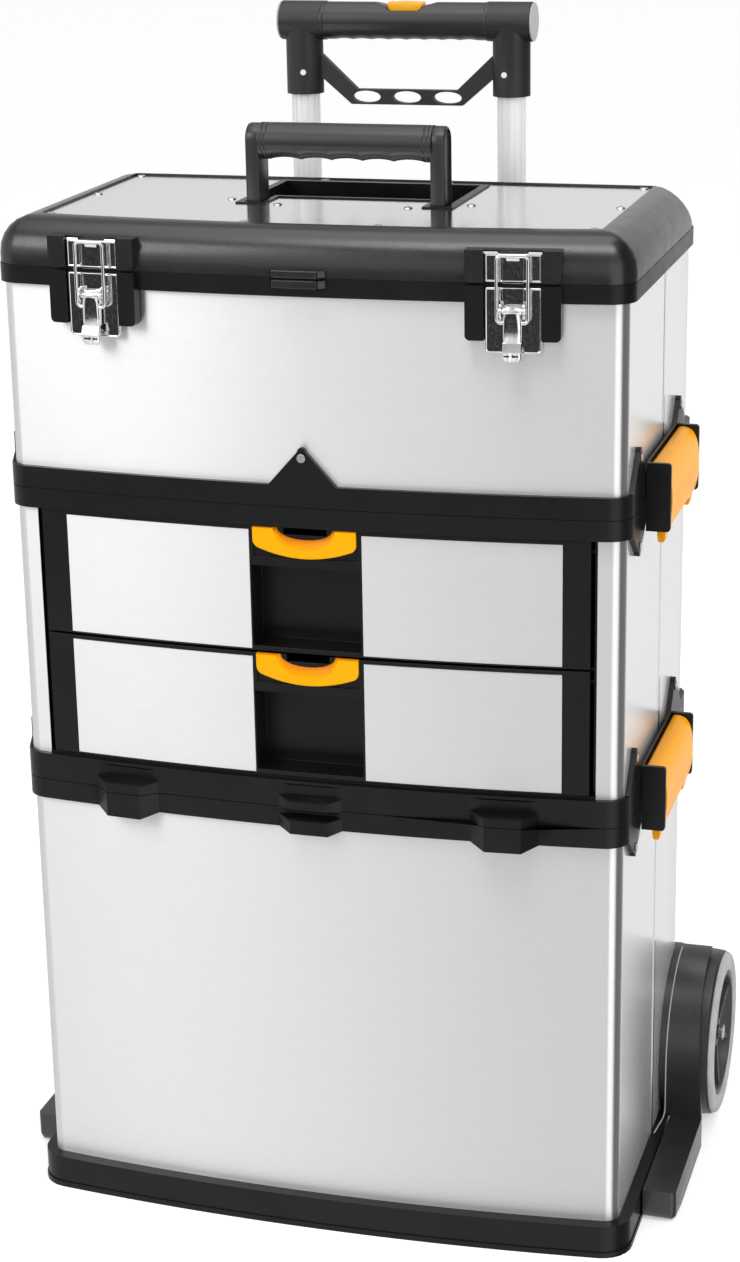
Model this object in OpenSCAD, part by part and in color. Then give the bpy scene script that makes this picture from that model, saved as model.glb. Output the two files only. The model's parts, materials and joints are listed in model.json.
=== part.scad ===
// Three-tier rolling tool box: wheeled bin, drawer unit and lift-off tool box.
// Millimetres. +Z is up, +X is to the right seen from the front, the front looks along -Y.
// The origin is the middle of the flat underside of the base.

/* [Case outline] */
// Width over the moulded rims
rim_w = 520; // [460:5:600]
// Depth from the front corner line to the back of the rims
rim_d = 292; // [280:1:340]
// How far the front bows out at its middle
front_bow = 16; // [8:1:24]
// Radius of the rims' front corners, seen from above
rim_r = 20; // [16:1:22]
// Radius of the rims' back corners, seen from above
rim_back_r = 20; // [16:1:22]
// How far the steel walls lie inside the rims
wall_inset = 4.4; // [3.8:0.2:5.6]
// Thickness of the steel walls
steel_t = 0.8; // [0.6:0.1:1.2]
// Radius of the steel walls' corners
steel_r = 12; // [10:0.5:14]
// Thickness of the moulded walls
mould_t = 3; // [2.4:0.2:4]
// Where the front and back wall sheets meet on the sides, behind the middle
sheet_joint_y = 16; // [0:0.5:20]

/* [Bin] */
// Height of the bin up to its top face
bin_h = 387.4; // [340:0.2:460]
// Height of the moulded base
base_h = 29; // [24:1:40]
// How far the base stands out past the rims
base_out = 5.6; // [4:0.2:7]
// Height of the lip along the foot of the base
base_lip_h = 5; // [3:0.5:8]
// How far that lip stands out
base_lip = 1; // [0.4:0.2:1.6]
// Height of the bin's top rim
bin_rim_h = 17; // [14:0.5:22]

/* [Drawer unit] */
// Height of the drawer unit between its two seams
unit_h = 255.9; // [220:0.1:320]
// Height of its lower rim
unit_foot_h = 23.6; // [20:0.2:30]
// Height of its upper rim
unit_rim_h = 16.5; // [14:0.5:22]
// Width of the post at each side of the drawers, out to the rim
post_w = 30.5; // [26:0.5:40]
// Width of the black strip at each end of a drawer front
strip_w = 23; // [16:1:32]
// Gap between and around the drawer fronts
front_gap = 2; // [1.4:0.2:3]
// Height of the sill under the lower drawer
sill_h = 2.4; // [1.6:0.2:4]
// Width of the finger recess in a drawer front
recess_w = 91; // [80:1:110]
// Depth of the finger recess
recess_depth = 26; // [20:1:34]
// Height of the yellow pull at its middle
pull_h = 25; // [20:1:30]
// Height of the band under the pull
band_h = 11; // [8:1:16]
// Thickness of the drawer fronts
front_t = 4; // [3:0.2:5]
// Thickness of the drawer box walls
drawer_t = 2.2; // [1.8:0.1:3]

/* [Top box] */
// Height of the top box between its two seams
box_h = 184; // [150:1:230]
// Height of its lower rim
box_foot_h = 18.3; // [15:0.1:24]
// Height of its upper rim
box_rim_h = 14.7; // [12:0.1:18]

/* [Lid] */
// Height of the steel plate's face over the lid seam
lid_h = 35.4; // [32:0.2:48]
// Width of the lid's rounded border at the front and the sides
border = 30; // [24:1:36]
// Height of the lid's upright edge at the back
back_edge_h = 5; // [4:0.5:6]
// Thickness of the lid's steel plate
plate_t = 0.8; // [0.6:0.1:1.2]
// Width of the lid's sloping border at the back
back_border = 43; // [40:0.5:50]
// Radius of the lid's back corners, seen from above
lid_back_r = 30; // [22:1:34]
// Height of the lid's upright edge over the seam
lid_edge_h = 8; // [6:0.5:11]
// How far the border stands above the steel plate
border_proud = 1.6; // [1:0.2:3]
// Head diameter of the lid screws
screw_d = 7.5; // [6:0.5:9]

/* [Carry handle] */
// Width over the two posts
carry_w = 168; // [150:1:190]
// Thickness of a post
post_t = 12; // [9:0.5:15]
// Width of a post from front to back
post_depth = 26; // [22:1:28]
// Diameter of the grip
carry_grip_d = 29; // [25:0.5:29]
// Height of the grip's middle over the steel plate
carry_grip_z = 50.8; // [46:0.2:54]
// Depth of the pivot under the steel plate's face
pivot_drop = 9.7; // [8:0.1:12]
// Place of the pivot in front of the middle of the case
pivot_fwd = 17; // [15:0.5:24]
// Gap between the tray and the back edge of the steel plate
tray_back = 11; // [9:0.5:15]
// Side border of the tray past the posts
tray_side = 8; // [7:0.5:10]
// Depth of the tray's pocket under the steel plate
pocket_depth = 26; // [25:0.5:27]
// Depth of the notch in the tray's outline between the posts
ledge_d = 36; // [30:1:40]
// Diameter of the pivot pins
pivot_pin_d = 5; // [4:0.5:6]

/* [Front latches] */
// Distance of a latch's middle from the side of the rims
latch_in = 90; // [70:1:110]
// Width of the moulded pad behind a latch
latch_pad_w = 74; // [64:1:80]
// Width of the latch plates
latch_w = 44; // [38:1:48]
// Thickness of the latch plates
latch_t = 1.2; // [1:0.1:1.6]
// Length of the lower pad under the lid seam
latch_pad_low = 43; // [38:1:48]
// Depth of the lower latch plate's end under the seam
latch_low = 53.3; // [48:0.1:56]
// Depth of the lever's pin under the seam
lever_drop = 19.3; // [17:0.1:21]
// Length of the lever under its pin
lever_l = 38; // [34:1:42]
// Height of the keeper's top over the seam
keeper_up = 25.7; // [22:0.1:27]
// Height of the bail's bar over the seam
bail_up = 19; // [15:0.5:20]
// Diameter of the bail wire
bail_d = 2.4; // [2:0.2:3]
// Width of the bail
bail_w = 27; // [25:0.5:30]
// Width of the lever
lever_w = 15.4; // [13:0.2:17]
// Diameter of the lever pin
lever_pin_d = 3; // [2.4:0.2:3.6]

/* [Side clips] */
// Length of a side clip along the case
clip_l = 137; // [130:1:160]
// Place of the clips' middle in front of the middle of the case
clip_fwd = 12; // [4:1:14]
// Thickness of a clip's end cheek
cheek_t = 4; // [3:0.2:5]
// How far the clips stand out from the rims
clip_out = 20; // [18:0.5:24]
// Height of a clip over the seam
clip_up = 28; // [25:0.5:32]
// Depth of a clip under the seam
clip_down = 25; // [22:0.5:28]
// Diameter of the clip's hinge pin
clip_pin_d = 3.4; // [3:0.2:4]
// Height of the triangular lugs over the rims
lug_h = 31; // [24:1:36]
// Half the width of the triangular lugs
lug_half = 29; // [24:1:34]
// Distance of a clip's two upper lugs from each other
lug_pitch = 182; // [170:1:190]
// Height of the hanging lugs under the rims
down_lug_h = 23; // [18:1:28]
// Diameter of the lug rivets
rivet_d = 7; // [5:0.5:8]

/* [Wheels] */
// Diameter of the wheels
wheel_d = 153; // [140:1:160]
// Width of the wheels
wheel_w = 35; // [30:1:38]
// Distance of the axle in front of the back of the rims
axle_fwd = 10; // [8:1:16]
// Height of the wheels' lowest point over the floor
wheel_lift = 0.4; // [0.2:0.1:1]
// Radial thickness of the tyre
tyre_t = 19; // [14:1:22]
// Diameter of the axle bolts
bolt_d = 8; // [7:0.5:9]
// Diameter of the axle bolts' heads
bolt_head_d = 14; // [12:0.5:16]
// Height of the axle bolts' heads
bolt_head_h = 5; // [4:0.5:6]
// Running clearance of a wheel on its bolt, on the radius
run_fit = 0.08; // [0.05:0.01:0.1]
// Thickness of the wheel guard's side plate
guard_plate_t = 6; // [5:0.5:7]
// Width of the wheel guard past its side plate, at its foot
guard_w = 34; // [30:1:36]
// Width of the wheel guard past its side plate, at its top
guard_top_w = 27; // [24:1:30]
// Gap between the tyre and the guard
guard_gap = 3.5; // [3:0.5:7]
// Thickness of the guard's shell
guard_t = 3.5; // [3:0.5:5]
// Distance of the step's front behind the front corner line
step_front = 62; // [56:1:72]

/* [Trolley handle] */
// Distance between the two tubes
tube_pitch = 186; // [170:1:200]
// Outer diameter of the sliding tubes
tube_d = 25; // [22:0.5:27]
// Wall of the sliding tubes
tube_wall = 1.5; // [1.2:0.1:2]
// Wall of the fixed tubes
guide_wall = 1.6; // [1.2:0.1:2]
// Gap between the fixed tubes and the back of the rims
guide_gap = 8.5; // [7:0.5:12]
// Sliding clearance of the tubes, on the radius
slide_fit = 0.35; // [0.3:0.05:0.5]
// Height of the handle bar's middle over the base in the travel position
bar_z = 991.5; // [960:0.5:1040]
// Diameter of the handle bar's end sleeves
sleeve_d = 33.5; // [30:0.5:34]
// Width over the handle bar's sleeves
bar_w = 223; // [215:1:245]
// Length of a sleeve
sleeve_l = 37; // [36:1:44]
// Diameter of the middle grip
grip_d = 32; // [28:0.5:32.5]
// Diameter of a stem
stem_d = 32.5; // [31:0.5:33.5]
// Depth of the stems' feet under the bar's middle
stem_drop = 62.5; // [56:0.5:68]
// Height of the brace's level part
brace_h = 13; // [12:0.5:16]
// Thickness of the brace
brace_t = 8; // [6:0.5:10]
// Height at which the brace's arms meet the stems, over its underside
brace_rise = 24; // [20:1:28]
// Height of the brace's arms where they meet the stems
brace_arm_h = 20; // [16:1:22]
// Depth of the brace's level part under the bar's middle
brace_drop = 65; // [60:0.5:70]
// Length of the brace's level part
brace_l = 100; // [92:1:108]
// Length of a brace hole
brace_hole_l = 25; // [20:0.5:26]
// Distance between the brace holes
brace_hole_pitch = 36.5; // [32:0.5:38]
// Length of the release button
button_l = 35; // [28:1:40]
// Width of the release button
button_w = 15; // [12:0.5:17]
// How far the release button sinks
button_travel = 4; // [3:0.5:5]
// Height over the floor at which the fixed tubes begin
guide_z0 = 22; // [16:1:30]
// How far the handle can be pushed down from the travel position
handle_down = 90; // [60:5:95]

/* [Hidden] */

$fn = 64;
eps = 0.01;
bow_steps = 24;
corner_steps = 6;
sheet_fit = 0.15;
flat_fit = 0.3;
seam_gap = 0.6;
joint_gap = 0.5;
nest_h = 4;
nest_gap = 1;
floor_z = 6;
black = "#26272a";
steel = "#d9dbdd";
yellow = "#fdbb12";

z_unit = bin_h;
z_box = z_unit + unit_h;
z_lid = z_box + box_h;
z_plate = z_lid + lid_h;
front_y = -rim_d / 2;
back_y = rim_d / 2;
side_x = rim_w / 2;
steel_x = side_x - wall_inset;
wall_out = wall_inset - sheet_fit;
wall_in = wall_inset + steel_t + sheet_fit;
lip_in = wall_in + mould_t;

// Side lugs, bosses and clips
latch_x = side_x - latch_in;
clip_y = -clip_fwd;
lug_y = [clip_y - lug_pitch / 2, clip_y + lug_pitch / 2];
boss_x = latch_x - 8;
boss_half = 28;
boss_flat = 15;
boss_out = 11;
boss_drop = 4;
boss_up = 7.5;
boss_ramp = 3;
scoop_half = 28;
scoop_depth = 2.4;
mid_boss_half = 27;
mid_boss_flat = 16;
mid_boss_out = 6;
mid_boss_low = 9;
rivet_head = 1.2;
rivet_shank = rivet_d - 3;
rivet_tail = 1.3;
rivet_drop = 8.4;
boss_root = 2;

// Clips: a lever on a pin between two cheeks on the upper of two tiers
pin_x = side_x + 4.5;
pin_up = 27;
web_t = 1.5;
clip_reach = clip_l - 2 * cheek_t - 2 * flat_fit;
clip_knuckle = 12;

// Rims and feet that the tiers share
groove = 1.2;
nest_in = lip_in - mould_t / 2;
upstand_h = 10;

// Wheels
axle_y = back_y - axle_fwd;
axle_z = wheel_d / 2 + wheel_lift;
wheel_x = side_x + base_out + base_lip + 1.2;
guard_x = steel_x + guard_plate_t;
guard_r = wheel_d / 2 + guard_gap;
step_x0 = side_x + base_out + base_lip + flat_fit;
step_x1 = guard_x + guard_w;
step_y0 = front_y + step_front;
step_y1 = axle_y - guard_r;
corner_wrap = 14;
guard_over = 6;
hub_ribs = 6;
hub_l = wheel_w - 7;
hub_in = 0.6;
axle_block_x = steel_x - 18;
axle_block_h = 32;

// Trolley handle
fixed_d = tube_d + 2 * slide_fit + 2 * guide_wall;
tube_y = back_y + guide_gap + fixed_d / 2;
tube_x = tube_pitch / 2;
fixed_top = bin_h - bin_rim_h - 6;
bush_h = 14;
tube_bottom = guide_z0 + handle_down + bush_h + 6;
bracket_h = 30;
sleeve_x = bar_w / 2 - sleeve_l;
tube_top = bar_z - 21;
spigot_d = 21;
tee_pin_d = 5;
tee_pin_drop = 43.5;
tee_pin_x = tube_x - 3;
rod_cell = 13;
rod_d = 5;
bush_plug = 15;
rod_z0 = tube_bottom + bush_plug + button_travel + 1;

// Drawer unit
front_w = rim_w - 2 * post_w;
opening_x = front_w / 2 + front_gap + 3;
opening_z0 = z_unit + unit_foot_h + sill_h;
opening_z1 = z_box - unit_rim_h;
edge_gap = 0.7;
front_h = (opening_z1 - opening_z0 - 2 * edge_gap - front_gap) / 2;
lower_z = opening_z0 + edge_gap;
upper_z = lower_z + front_h + front_gap;
wall_z0 = floor_z + mould_t;
runner_w = 15;
runner_t = 3;
runner_gap = 0.3;
runner_y0 = bow_y(opening_x, lip_in + 0.5);
runner_y1 = back_y - 16;

// Drawers
front_in = 2.4;
tub_x = front_w / 2 - 1.5;
tub_y1 = back_y - 41;
tub_h = front_h - 12;
recess_z0 = 4;
recess_z1 = front_h - pull_h - band_h + 3;
pull_half = recess_w / 2 - 2.5;
pull_in = 0.6;
pull_back = 4.4;
plate_x0 = recess_w / 2 + 1.5;
plate_x1 = front_w / 2 - strip_w + 1;
plate_in = front_in + 0.75;

// Latches, drawn in a frame that stands on the bowed front
pad_out = 6;
pad_web = 1.2;
pad_root = wall_inset - 0.3;
lever_y = -8.6;
lever_z = z_lid - lever_drop;
ear_t = 1.2;
bail_x = (bail_w - bail_d) / 2;
bail_drop = 8;
plate_y = -pad_web - latch_t;
bail_pin_y = lever_y + 1;

// Lid
hinge_in = 95;
hinge_x = side_x - hinge_in;
hinge_l = 44;
hinge_y = back_y + 2.6;
barrel_d = 5.2;
hinge_pin_d = 2.6;
leaf_t = 1.2;
knuckle = hinge_l / 3;
crest = 2;
lid_top = lid_h + border_proud;
screw_in = 7;

// Carry handle and its tray
pivot_y = -pivot_fwd;
pivot_z = z_plate - pivot_drop;
slot_gap = 1.5;
slot_x0 = carry_w / 2 - post_t - slot_gap;
slot_x1 = carry_w / 2 + slot_gap;
pocket_wall = 3;
tray_x = carry_w / 2 + tray_side;
tray_y0 = pivot_y - post_depth / 2 - 4;
tray_y1 = back_y - back_border - tray_back;
flange_t = 1.2;
pocket_y0 = tray_y0 + 3;
pocket_y1 = tray_y1 - 6.5;
pocket_mid = tray_y0 + ledge_d + 4;

// Points along an arc, without its first point where it follows another.
function arc(cx, cy, r, a0, a1, n, first = 1) =
    [for (i = [first:n]) [cx + r * cos(a0 + (a1 - a0) * i / n), cy + r * sin(a0 + (a1 - a0) * i / n)]];

// Radius of the bowed front of an outline w wide.
function bow_radius(w) = (w * w / 4 + front_bow * front_bow) / (2 * front_bow);

// Case outline, drawn in by side at the front and sides and by back at the back.
function plan_pts(side, back, rf, rb, n = bow_steps, m = corner_steps) =
    let (w = rim_w - 2 * side, rad = bow_radius(w),
        yb = front_y + side - front_bow + rad,
        yc = yb - sqrt(pow(rad - rf, 2) - pow(w / 2 - rf, 2)),
        a = asin((w / 2 - rf) / (rad - rf)), ry = back_y - back - rb)
    concat(arc(0, yb, rad, 270 - a, 270 + a, n, 0),
        arc(w / 2 - rf, yc, rf, 270 + a, 360, m),
        arc(w / 2 - rb, ry, rb, 0, 90, m, 0),
        arc(rb - w / 2, ry, rb, 90, 180, m, 0),
        [for (i = [0:m - 1]) let (t = 180 + (90 - a) * i / m)
            [rf - w / 2 + rf * cos(t), yc + rf * sin(t)]]);

// Front surface of the outline at a place x, drawn in by inset, and its turn there.
function bow_y(x, inset = 0) =
    let (rad = bow_radius(rim_w - 2 * inset))
    front_y + inset - front_bow + rad - sqrt(rad * rad - x * x);
function bow_turn(x) = asin(x / bow_radius(rim_w));

// Outline of the mouldings, that of the steel walls with its tighter corners, and the base's.
module plan(inset = 0) {
    polygon(plan_pts(inset, inset, max(rim_r - inset, 1), max(rim_back_r - inset, 1)));
}

module sheet_plan(inset) {
    r = max(steel_r + wall_inset - inset, 1);
    polygon(plan_pts(inset, inset, r, r));
}

module base_plan(inset = 0) {
    polygon(plan_pts(inset - base_out, max(inset, 0), rim_r + base_out - inset, rim_back_r - inset));
}

module slab(z0, z1, inset = 0) {
    translate([0, 0, z0]) linear_extrude(z1 - z0) plan(inset);
}

module sheet_slab(z0, z1, inset) {
    translate([0, 0, z0]) linear_extrude(z1 - z0) sheet_plan(inset);
}

module base_slab(z0, z1, inset = 0) {
    translate([0, 0, z0]) linear_extrude(z1 - z0) base_plan(inset);
}

// Outer wall of a rim, and the inner lip that clamps the steel wall against it.
module rim_band(z0, z1) {
    difference() {
        slab(z0, z1);
        sheet_slab(z0 - 1, z1 + 1, wall_out);
    }
}

module inner_lip(z0, z1) {
    difference() {
        sheet_slab(z0, z1, wall_in);
        sheet_slab(z0 - 1, z1 + 1, lip_in);
    }
}

// Steel wall from z0 to z1, and its part in front of or behind the sheets' joint.
module steel_wall(z0, z1) {
    difference() {
        sheet_slab(z0, z1, wall_inset);
        sheet_slab(z0 - 1, z1 + 1, wall_inset + steel_t);
    }
}

module front_sheet(z0, z1) {
    intersection() {
        steel_wall(z0, z1);
        block(-rim_w, rim_w, -rim_d, sheet_joint_y - joint_gap / 2, z0 - 1, z1 + 1);
    }
}

module back_sheet(z0, z1) {
    intersection() {
        steel_wall(z0, z1);
        block(-rim_w, rim_w, sheet_joint_y + joint_gap / 2, rim_d, z0 - 1, z1 + 1);
    }
}

module block(x0, x1, y0, y1, z0, z1) {
    translate([x0, y0, z0]) cube([x1 - x0, y1 - y0, z1 - z0]);
}

// A profile in the Y-Z plane, drawn as [y, z], extruded along X from x0 to x1.
module yz_extrude(x0, x1) {
    translate([x0, 0, 0]) rotate([90, 0, 90]) linear_extrude(x1 - x0) children();
}

// A profile in the X-Z plane, drawn as [x, z], extruded along Y from y0 to y1.
module xz_extrude(y0, y1) {
    translate([0, y1, 0]) rotate([90, 0, 0]) linear_extrude(y1 - y0) children();
}

module rod_x(x0, x1, y, z, d) {
    translate([x0, y, z]) rotate([0, 90, 0]) cylinder(d = d, h = x1 - x0);
}

module rod_y(x, y0, y1, z, d) {
    translate([x, y1, z]) rotate([90, 0, 0]) cylinder(d = d, h = y1 - y0);
}

module both_sides() {
    children();
    mirror([1, 0, 0]) children();
}

// ---- side lugs, bosses and clips ----

// Triangular lug with a rounded tip, base on the X axis, height h.
module lug_shape(h) {
    tip = 3.4;
    difference() {
        union() {
            polygon([[-lug_half, -1], [lug_half, -1], [tip, h - tip], [-tip, h - tip]]);
            translate([0, h - tip]) circle(tip);
        }
        translate([0, h - rivet_drop]) circle(d = rivet_shank + 0.4);
    }
}

// Side lug: up = 1 stands on a rim's top edge at z, up = -1 hangs from its lower edge.
module side_lugs(z, up) {
    both_sides() for (y = lug_y)
        translate([steel_x + sheet_fit, y, z]) rotate([90, 0, 90])
            linear_extrude(wall_out) mirror([0, up > 0 ? 0 : 1]) lug_shape(up > 0 ? lug_h : down_lug_h);
}

// Rivet through a side lug, head outside and tail inside the steel wall.
module side_rivets(z, up) {
    h = up > 0 ? lug_h : down_lug_h;
    both_sides() for (y = lug_y)
        rivet_x([side_x, y, z + up * (h - rivet_drop)]);
}

module rivet_x(at) {
    tail = wall_inset + steel_t + rivet_tail + 0.1;
    translate(at) rotate([0, 90, 0]) {
        cylinder(d = rivet_d, h = rivet_head);
        translate([0, 0, -tail]) cylinder(d = rivet_shank, h = tail + rivet_head / 2);
        translate([0, 0, -tail]) cylinder(d = rivet_d, h = rivet_tail);
    }
}

// Holes for the shanks of the side rivets through both side walls.
module side_rivet_holes(z, up) {
    h = up > 0 ? lug_h : down_lug_h;
    for (y = lug_y) rod_x(-rim_w, rim_w, y, z + up * (h - rivet_drop), rivet_shank + 0.2);
}

// Moulded boss on the front of a rim at x: its face from z0 to z1, its root from z0 + low to z1 + high.
module front_boss(x, half, flat, out, z0, z1, low = 0, high = 0) {
    translate([x, bow_y(x), 0]) rotate([0, 0, bow_turn(x)]) hull() {
        block(-half, half, 0, boss_root, z0 + low, z1 + high);
        block(-flat, flat, -out, eps - out, z0, z1);
    }
}

// Hollow with sloping sides in a bowed face at x.
module front_scoop(x, z0, z1) {
    translate([x, bow_y(x), 0]) rotate([0, 0, bow_turn(x)]) hull() {
        block(-scoop_half, scoop_half, -boss_out, -0.4, z0, z1);
        block(8 - scoop_half, scoop_half - 8, scoop_depth - eps, scoop_depth, z0 + 0.5, z1 - 2.5);
    }
}

// ---- clips: a lever on a pin between two cheeks on the upper of two tiers ----

module clip_frame(seam) {
    y0 = clip_y - clip_l / 2;
    y1 = clip_y + clip_l / 2;
    color(black) both_sides() difference() {
        union() {
            block(side_x, side_x + web_t, y0, y1, seam + flat_fit, seam + clip_up);
            for (y = [y0, y1 - cheek_t]) xz_extrude(y, y + cheek_t) cheek_shape(seam);
        }
        rod_y(pin_x, y0 - 1, y1 + 1, seam + pin_up, clip_pin_d + 0.1);
    }
}

// End cheek, seen along the case.
module cheek_shape(seam) {
    r = 3;
    x0 = side_x + flat_fit;
    x1 = side_x + clip_out;
    z0 = seam - clip_down;
    z1 = seam + clip_up + 3;
    polygon(concat([[x0, z0]], arc(x1 - r, z0 + r, r, 270, 360, 4, 0), arc(x1 - r, z1 - r, r, 0, 90, 4, 0),
        [[x0, z1]]));
}

module clip_pins(seam) {
    both_sides() rod_y(pin_x, clip_y - clip_l / 2, clip_y + clip_l / 2, seam + pin_up, clip_pin_d);
}

// Lever: a bulged skin between two end ribs, turning on the pin.
module clip_lever(seam) {
    y0 = clip_y - clip_reach / 2;
    y1 = clip_y + clip_reach / 2;
    x1 = side_x + clip_out;
    low = seam - clip_down;
    color(yellow) difference() {
        union() {
            xz_extrude(y0, y1) polygon([[pin_x - 1, seam + pin_up + 2], [pin_x + 0.6, seam + pin_up + 2.2],
                [x1 - 10.5, seam + 28.4], [x1 - 5.8, seam + 25.6], [x1 - 2.1, seam + 19.6], [x1, seam + 11],
                [x1 + 0.8, seam], [x1 + 0.4, seam - 11], [x1 - 1.8, low + 1], [x1 - 5, low + 1],
                [x1 - 2.8, seam - 11], [x1 - 2.4, seam], [x1 - 3.3, seam + 10], [x1 - 5.2, seam + 17.6],
                [x1 - 8.2, seam + 22.8], [x1 - 11.6, seam + 25.2], [pin_x - 1, seam + pin_up - 1]]);
            for (y = [y0, y1 - clip_knuckle]) {
                rod_y(pin_x, y, y + clip_knuckle, seam + pin_up, clip_pin_d + 1.6);
                xz_extrude(y, y + clip_knuckle) polygon([[pin_x, seam + pin_up], [x1 - 10.8, seam + 27],
                    [x1 - 6.6, seam + 24], [x1 - 2.6, seam + 9.8], [x1 - 3, seam - 14], [x1 - 5, low - 10],
                    [x1 - 13, low - 10], [x1 - 14, seam - 8], [pin_x - 1, seam + 18]]);
            }
        }
        rod_y(pin_x, y0 - 1, y1 + 1, seam + pin_up, clip_pin_d + 2 * 0.08);
    }
}

// ---- rims and feet that the tiers share ----

// Foot of an upper tier: rim with a seam groove, ledge, floor and seat of the steel wall.
module tier_foot(z0, h) {
    zf = z0 + floor_z;
    rim_band(z0 + seam_gap, z0 + h);
    difference() {
        slab(z0, zf + 1, groove);
        sheet_slab(z0 - 1, zf + 2, nest_in - nest_gap);
    }
    sheet_slab(zf, zf + mould_t, wall_out - 1);
    inner_lip(zf + mould_t - 1, zf + mould_t + upstand_h);
}

// Rim at the top of a tier: band, inner lip, top flange and the ring that locates the next tier.
module tier_rim(z1, h) {
    rim_band(z1 - h, z1);
    inner_lip(z1 - h, z1);
    difference() {
        sheet_slab(z1 - mould_t, z1, wall_out - 1);
        sheet_slab(z1 - mould_t - 1, z1 + 1, lip_in);
    }
    difference() {
        sheet_slab(z1 - mould_t, z1 + nest_h, nest_in);
        sheet_slab(z1 - mould_t - 1, z1 + nest_h + 1, nest_in + mould_t);
    }
}

// A panel that follows the bowed front from x0 to x1, between two depths behind the rims.
module bow_panel(x0, x1, in0, in1, z0, z1) {
    n = 12;
    translate([0, 0, z0]) linear_extrude(z1 - z0) polygon(concat(
        [for (i = [0:n]) let (x = x0 + (x1 - x0) * i / n) [x, bow_y(x, in0)]],
        [for (i = [n:-1:0]) let (x = x0 + (x1 - x0) * i / n) [x, bow_y(x, in1)]]));
}

// ---- bin ----

module bin_base() {
    color(black) {
        difference() {
            union() {
                base_slab(0, base_h);
                base_slab(0, base_lip_h, -base_lip);
            }
            base_slab(mould_t, base_h - mould_t, mould_t);
            sheet_slab(base_h - mould_t - 1, base_h + 1, lip_in);
        }
        inner_lip(base_h - mould_t, base_h + upstand_h);
    }
}

module bin_front_wall() {
    color(steel) difference() {
        front_sheet(base_h, bin_h - mould_t);
        side_rivet_holes(bin_h - bin_rim_h, -1);
    }
}

module bin_back_wall() {
    color(steel) difference() {
        back_sheet(base_h, bin_h - mould_t);
        side_rivet_holes(bin_h - bin_rim_h, -1);
        rod_x(-rim_w, rim_w, axle_y, axle_z, bolt_d + 0.4);
    }
}

module bin_rim() {
    z0 = bin_h - bin_rim_h;
    z_mid = bin_h - mid_boss_low;
    color(black) {
        difference() {
            tier_rim(bin_h, bin_rim_h);
            front_scoop(0, z_mid + boss_ramp, bin_h - 1.2);
        }
        for (x = [-boss_x, boss_x])
            front_boss(x, boss_half, boss_flat, boss_out, z0 - boss_drop, bin_h, low = boss_drop);
        front_boss(0, mid_boss_half, mid_boss_flat, mid_boss_out, z0 - boss_drop, z_mid, boss_drop,
            boss_ramp);
        side_lugs(z0, -1);
    }
}

module bin_rivets() {
    color(steel) side_rivets(bin_h - bin_rim_h, -1);
}

// ---- wheels ----

// Wheel guard: side plate round the steel corner, arched shell before the tyre, hollow step.
module wheel_guard() {
    outer_r = guard_r + guard_t;
    r = 10;
    color(black) {
        difference() {
            yz_extrude(steel_x - corner_wrap, guard_x) intersection() {
                translate([axle_y, axle_z]) circle(outer_r, $fn = 128);
                translate([axle_y - outer_r, base_h])
                    square([back_y - 2 - axle_y + outer_r, outer_r * 2]);
            }
            sheet_slab(base_h - 1, bin_h, wall_inset - sheet_fit);
            rod_x(steel_x - corner_wrap - 1, guard_x + 1, axle_y, axle_z, bolt_d + 0.4);
        }
        intersection() {
            yz_extrude(guard_x - eps, guard_x + guard_w) union() {
                intersection() {
                    difference() {
                        translate([axle_y, axle_z]) circle(outer_r, $fn = 128);
                        translate([axle_y, axle_z]) circle(guard_r, $fn = 128);
                    }
                    translate([axle_y - outer_r - 1, axle_z]) square([outer_r + 1 + guard_over, outer_r + 1]);
                }
                translate([axle_y - outer_r, base_h]) square([guard_t, axle_z - base_h]);
            }
            xz_extrude(-rim_d, rim_d) polygon([[0, 0], [guard_x + guard_w, 0], [guard_x + guard_w, base_h],
                [guard_x + guard_top_w, axle_z + outer_r + 1], [0, axle_z + outer_r + 1]]);
        }
        difference() {
            union() {
                yz_extrude(step_x0, step_x1) polygon(concat([[step_y1, 0], [step_y1, base_h],
                    [step_y0, base_h]], arc(step_y0 + r, r, r, 180, 270, 6, 0)));
                block(step_x0, guard_x + guard_w, axle_y - outer_r, step_y1, base_h - 2, base_h + 2);
            }
            for (i = [0:2]) {
                cell = (step_y1 - step_y0 - 4 * mould_t) / 3;
                y = step_y0 + mould_t + i * (cell + mould_t);
                block(step_x0 + mould_t, step_x1 - mould_t, y, y + cell, -1, base_h - mould_t);
            }
        }
    }
}

module wheel_guard_right() { wheel_guard(); }

module wheel_guard_left() { mirror([1, 0, 0]) wheel_guard(); }

module about_axle(side) {
    mirror([side < 0 ? 1 : 0, 0, 0]) translate([wheel_x, axle_y, axle_z]) rotate([0, 90, 0]) children();
}

module tyre(side) {
    r1 = wheel_d / 2;
    r0 = r1 - tyre_t;
    c = 4;
    color("#5a5b5e") about_axle(side) rotate_extrude($fn = 96)
        polygon([[r0, 1], [r0 + 3, 0], [r1 - c, 0], [r1 - 1, 1.4], [r1, c], [r1, wheel_w - c],
            [r1 - 1, wheel_w - 1.4], [r1 - c, wheel_w], [r0 + 3, wheel_w], [r0, wheel_w - 1]]);
}

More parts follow.
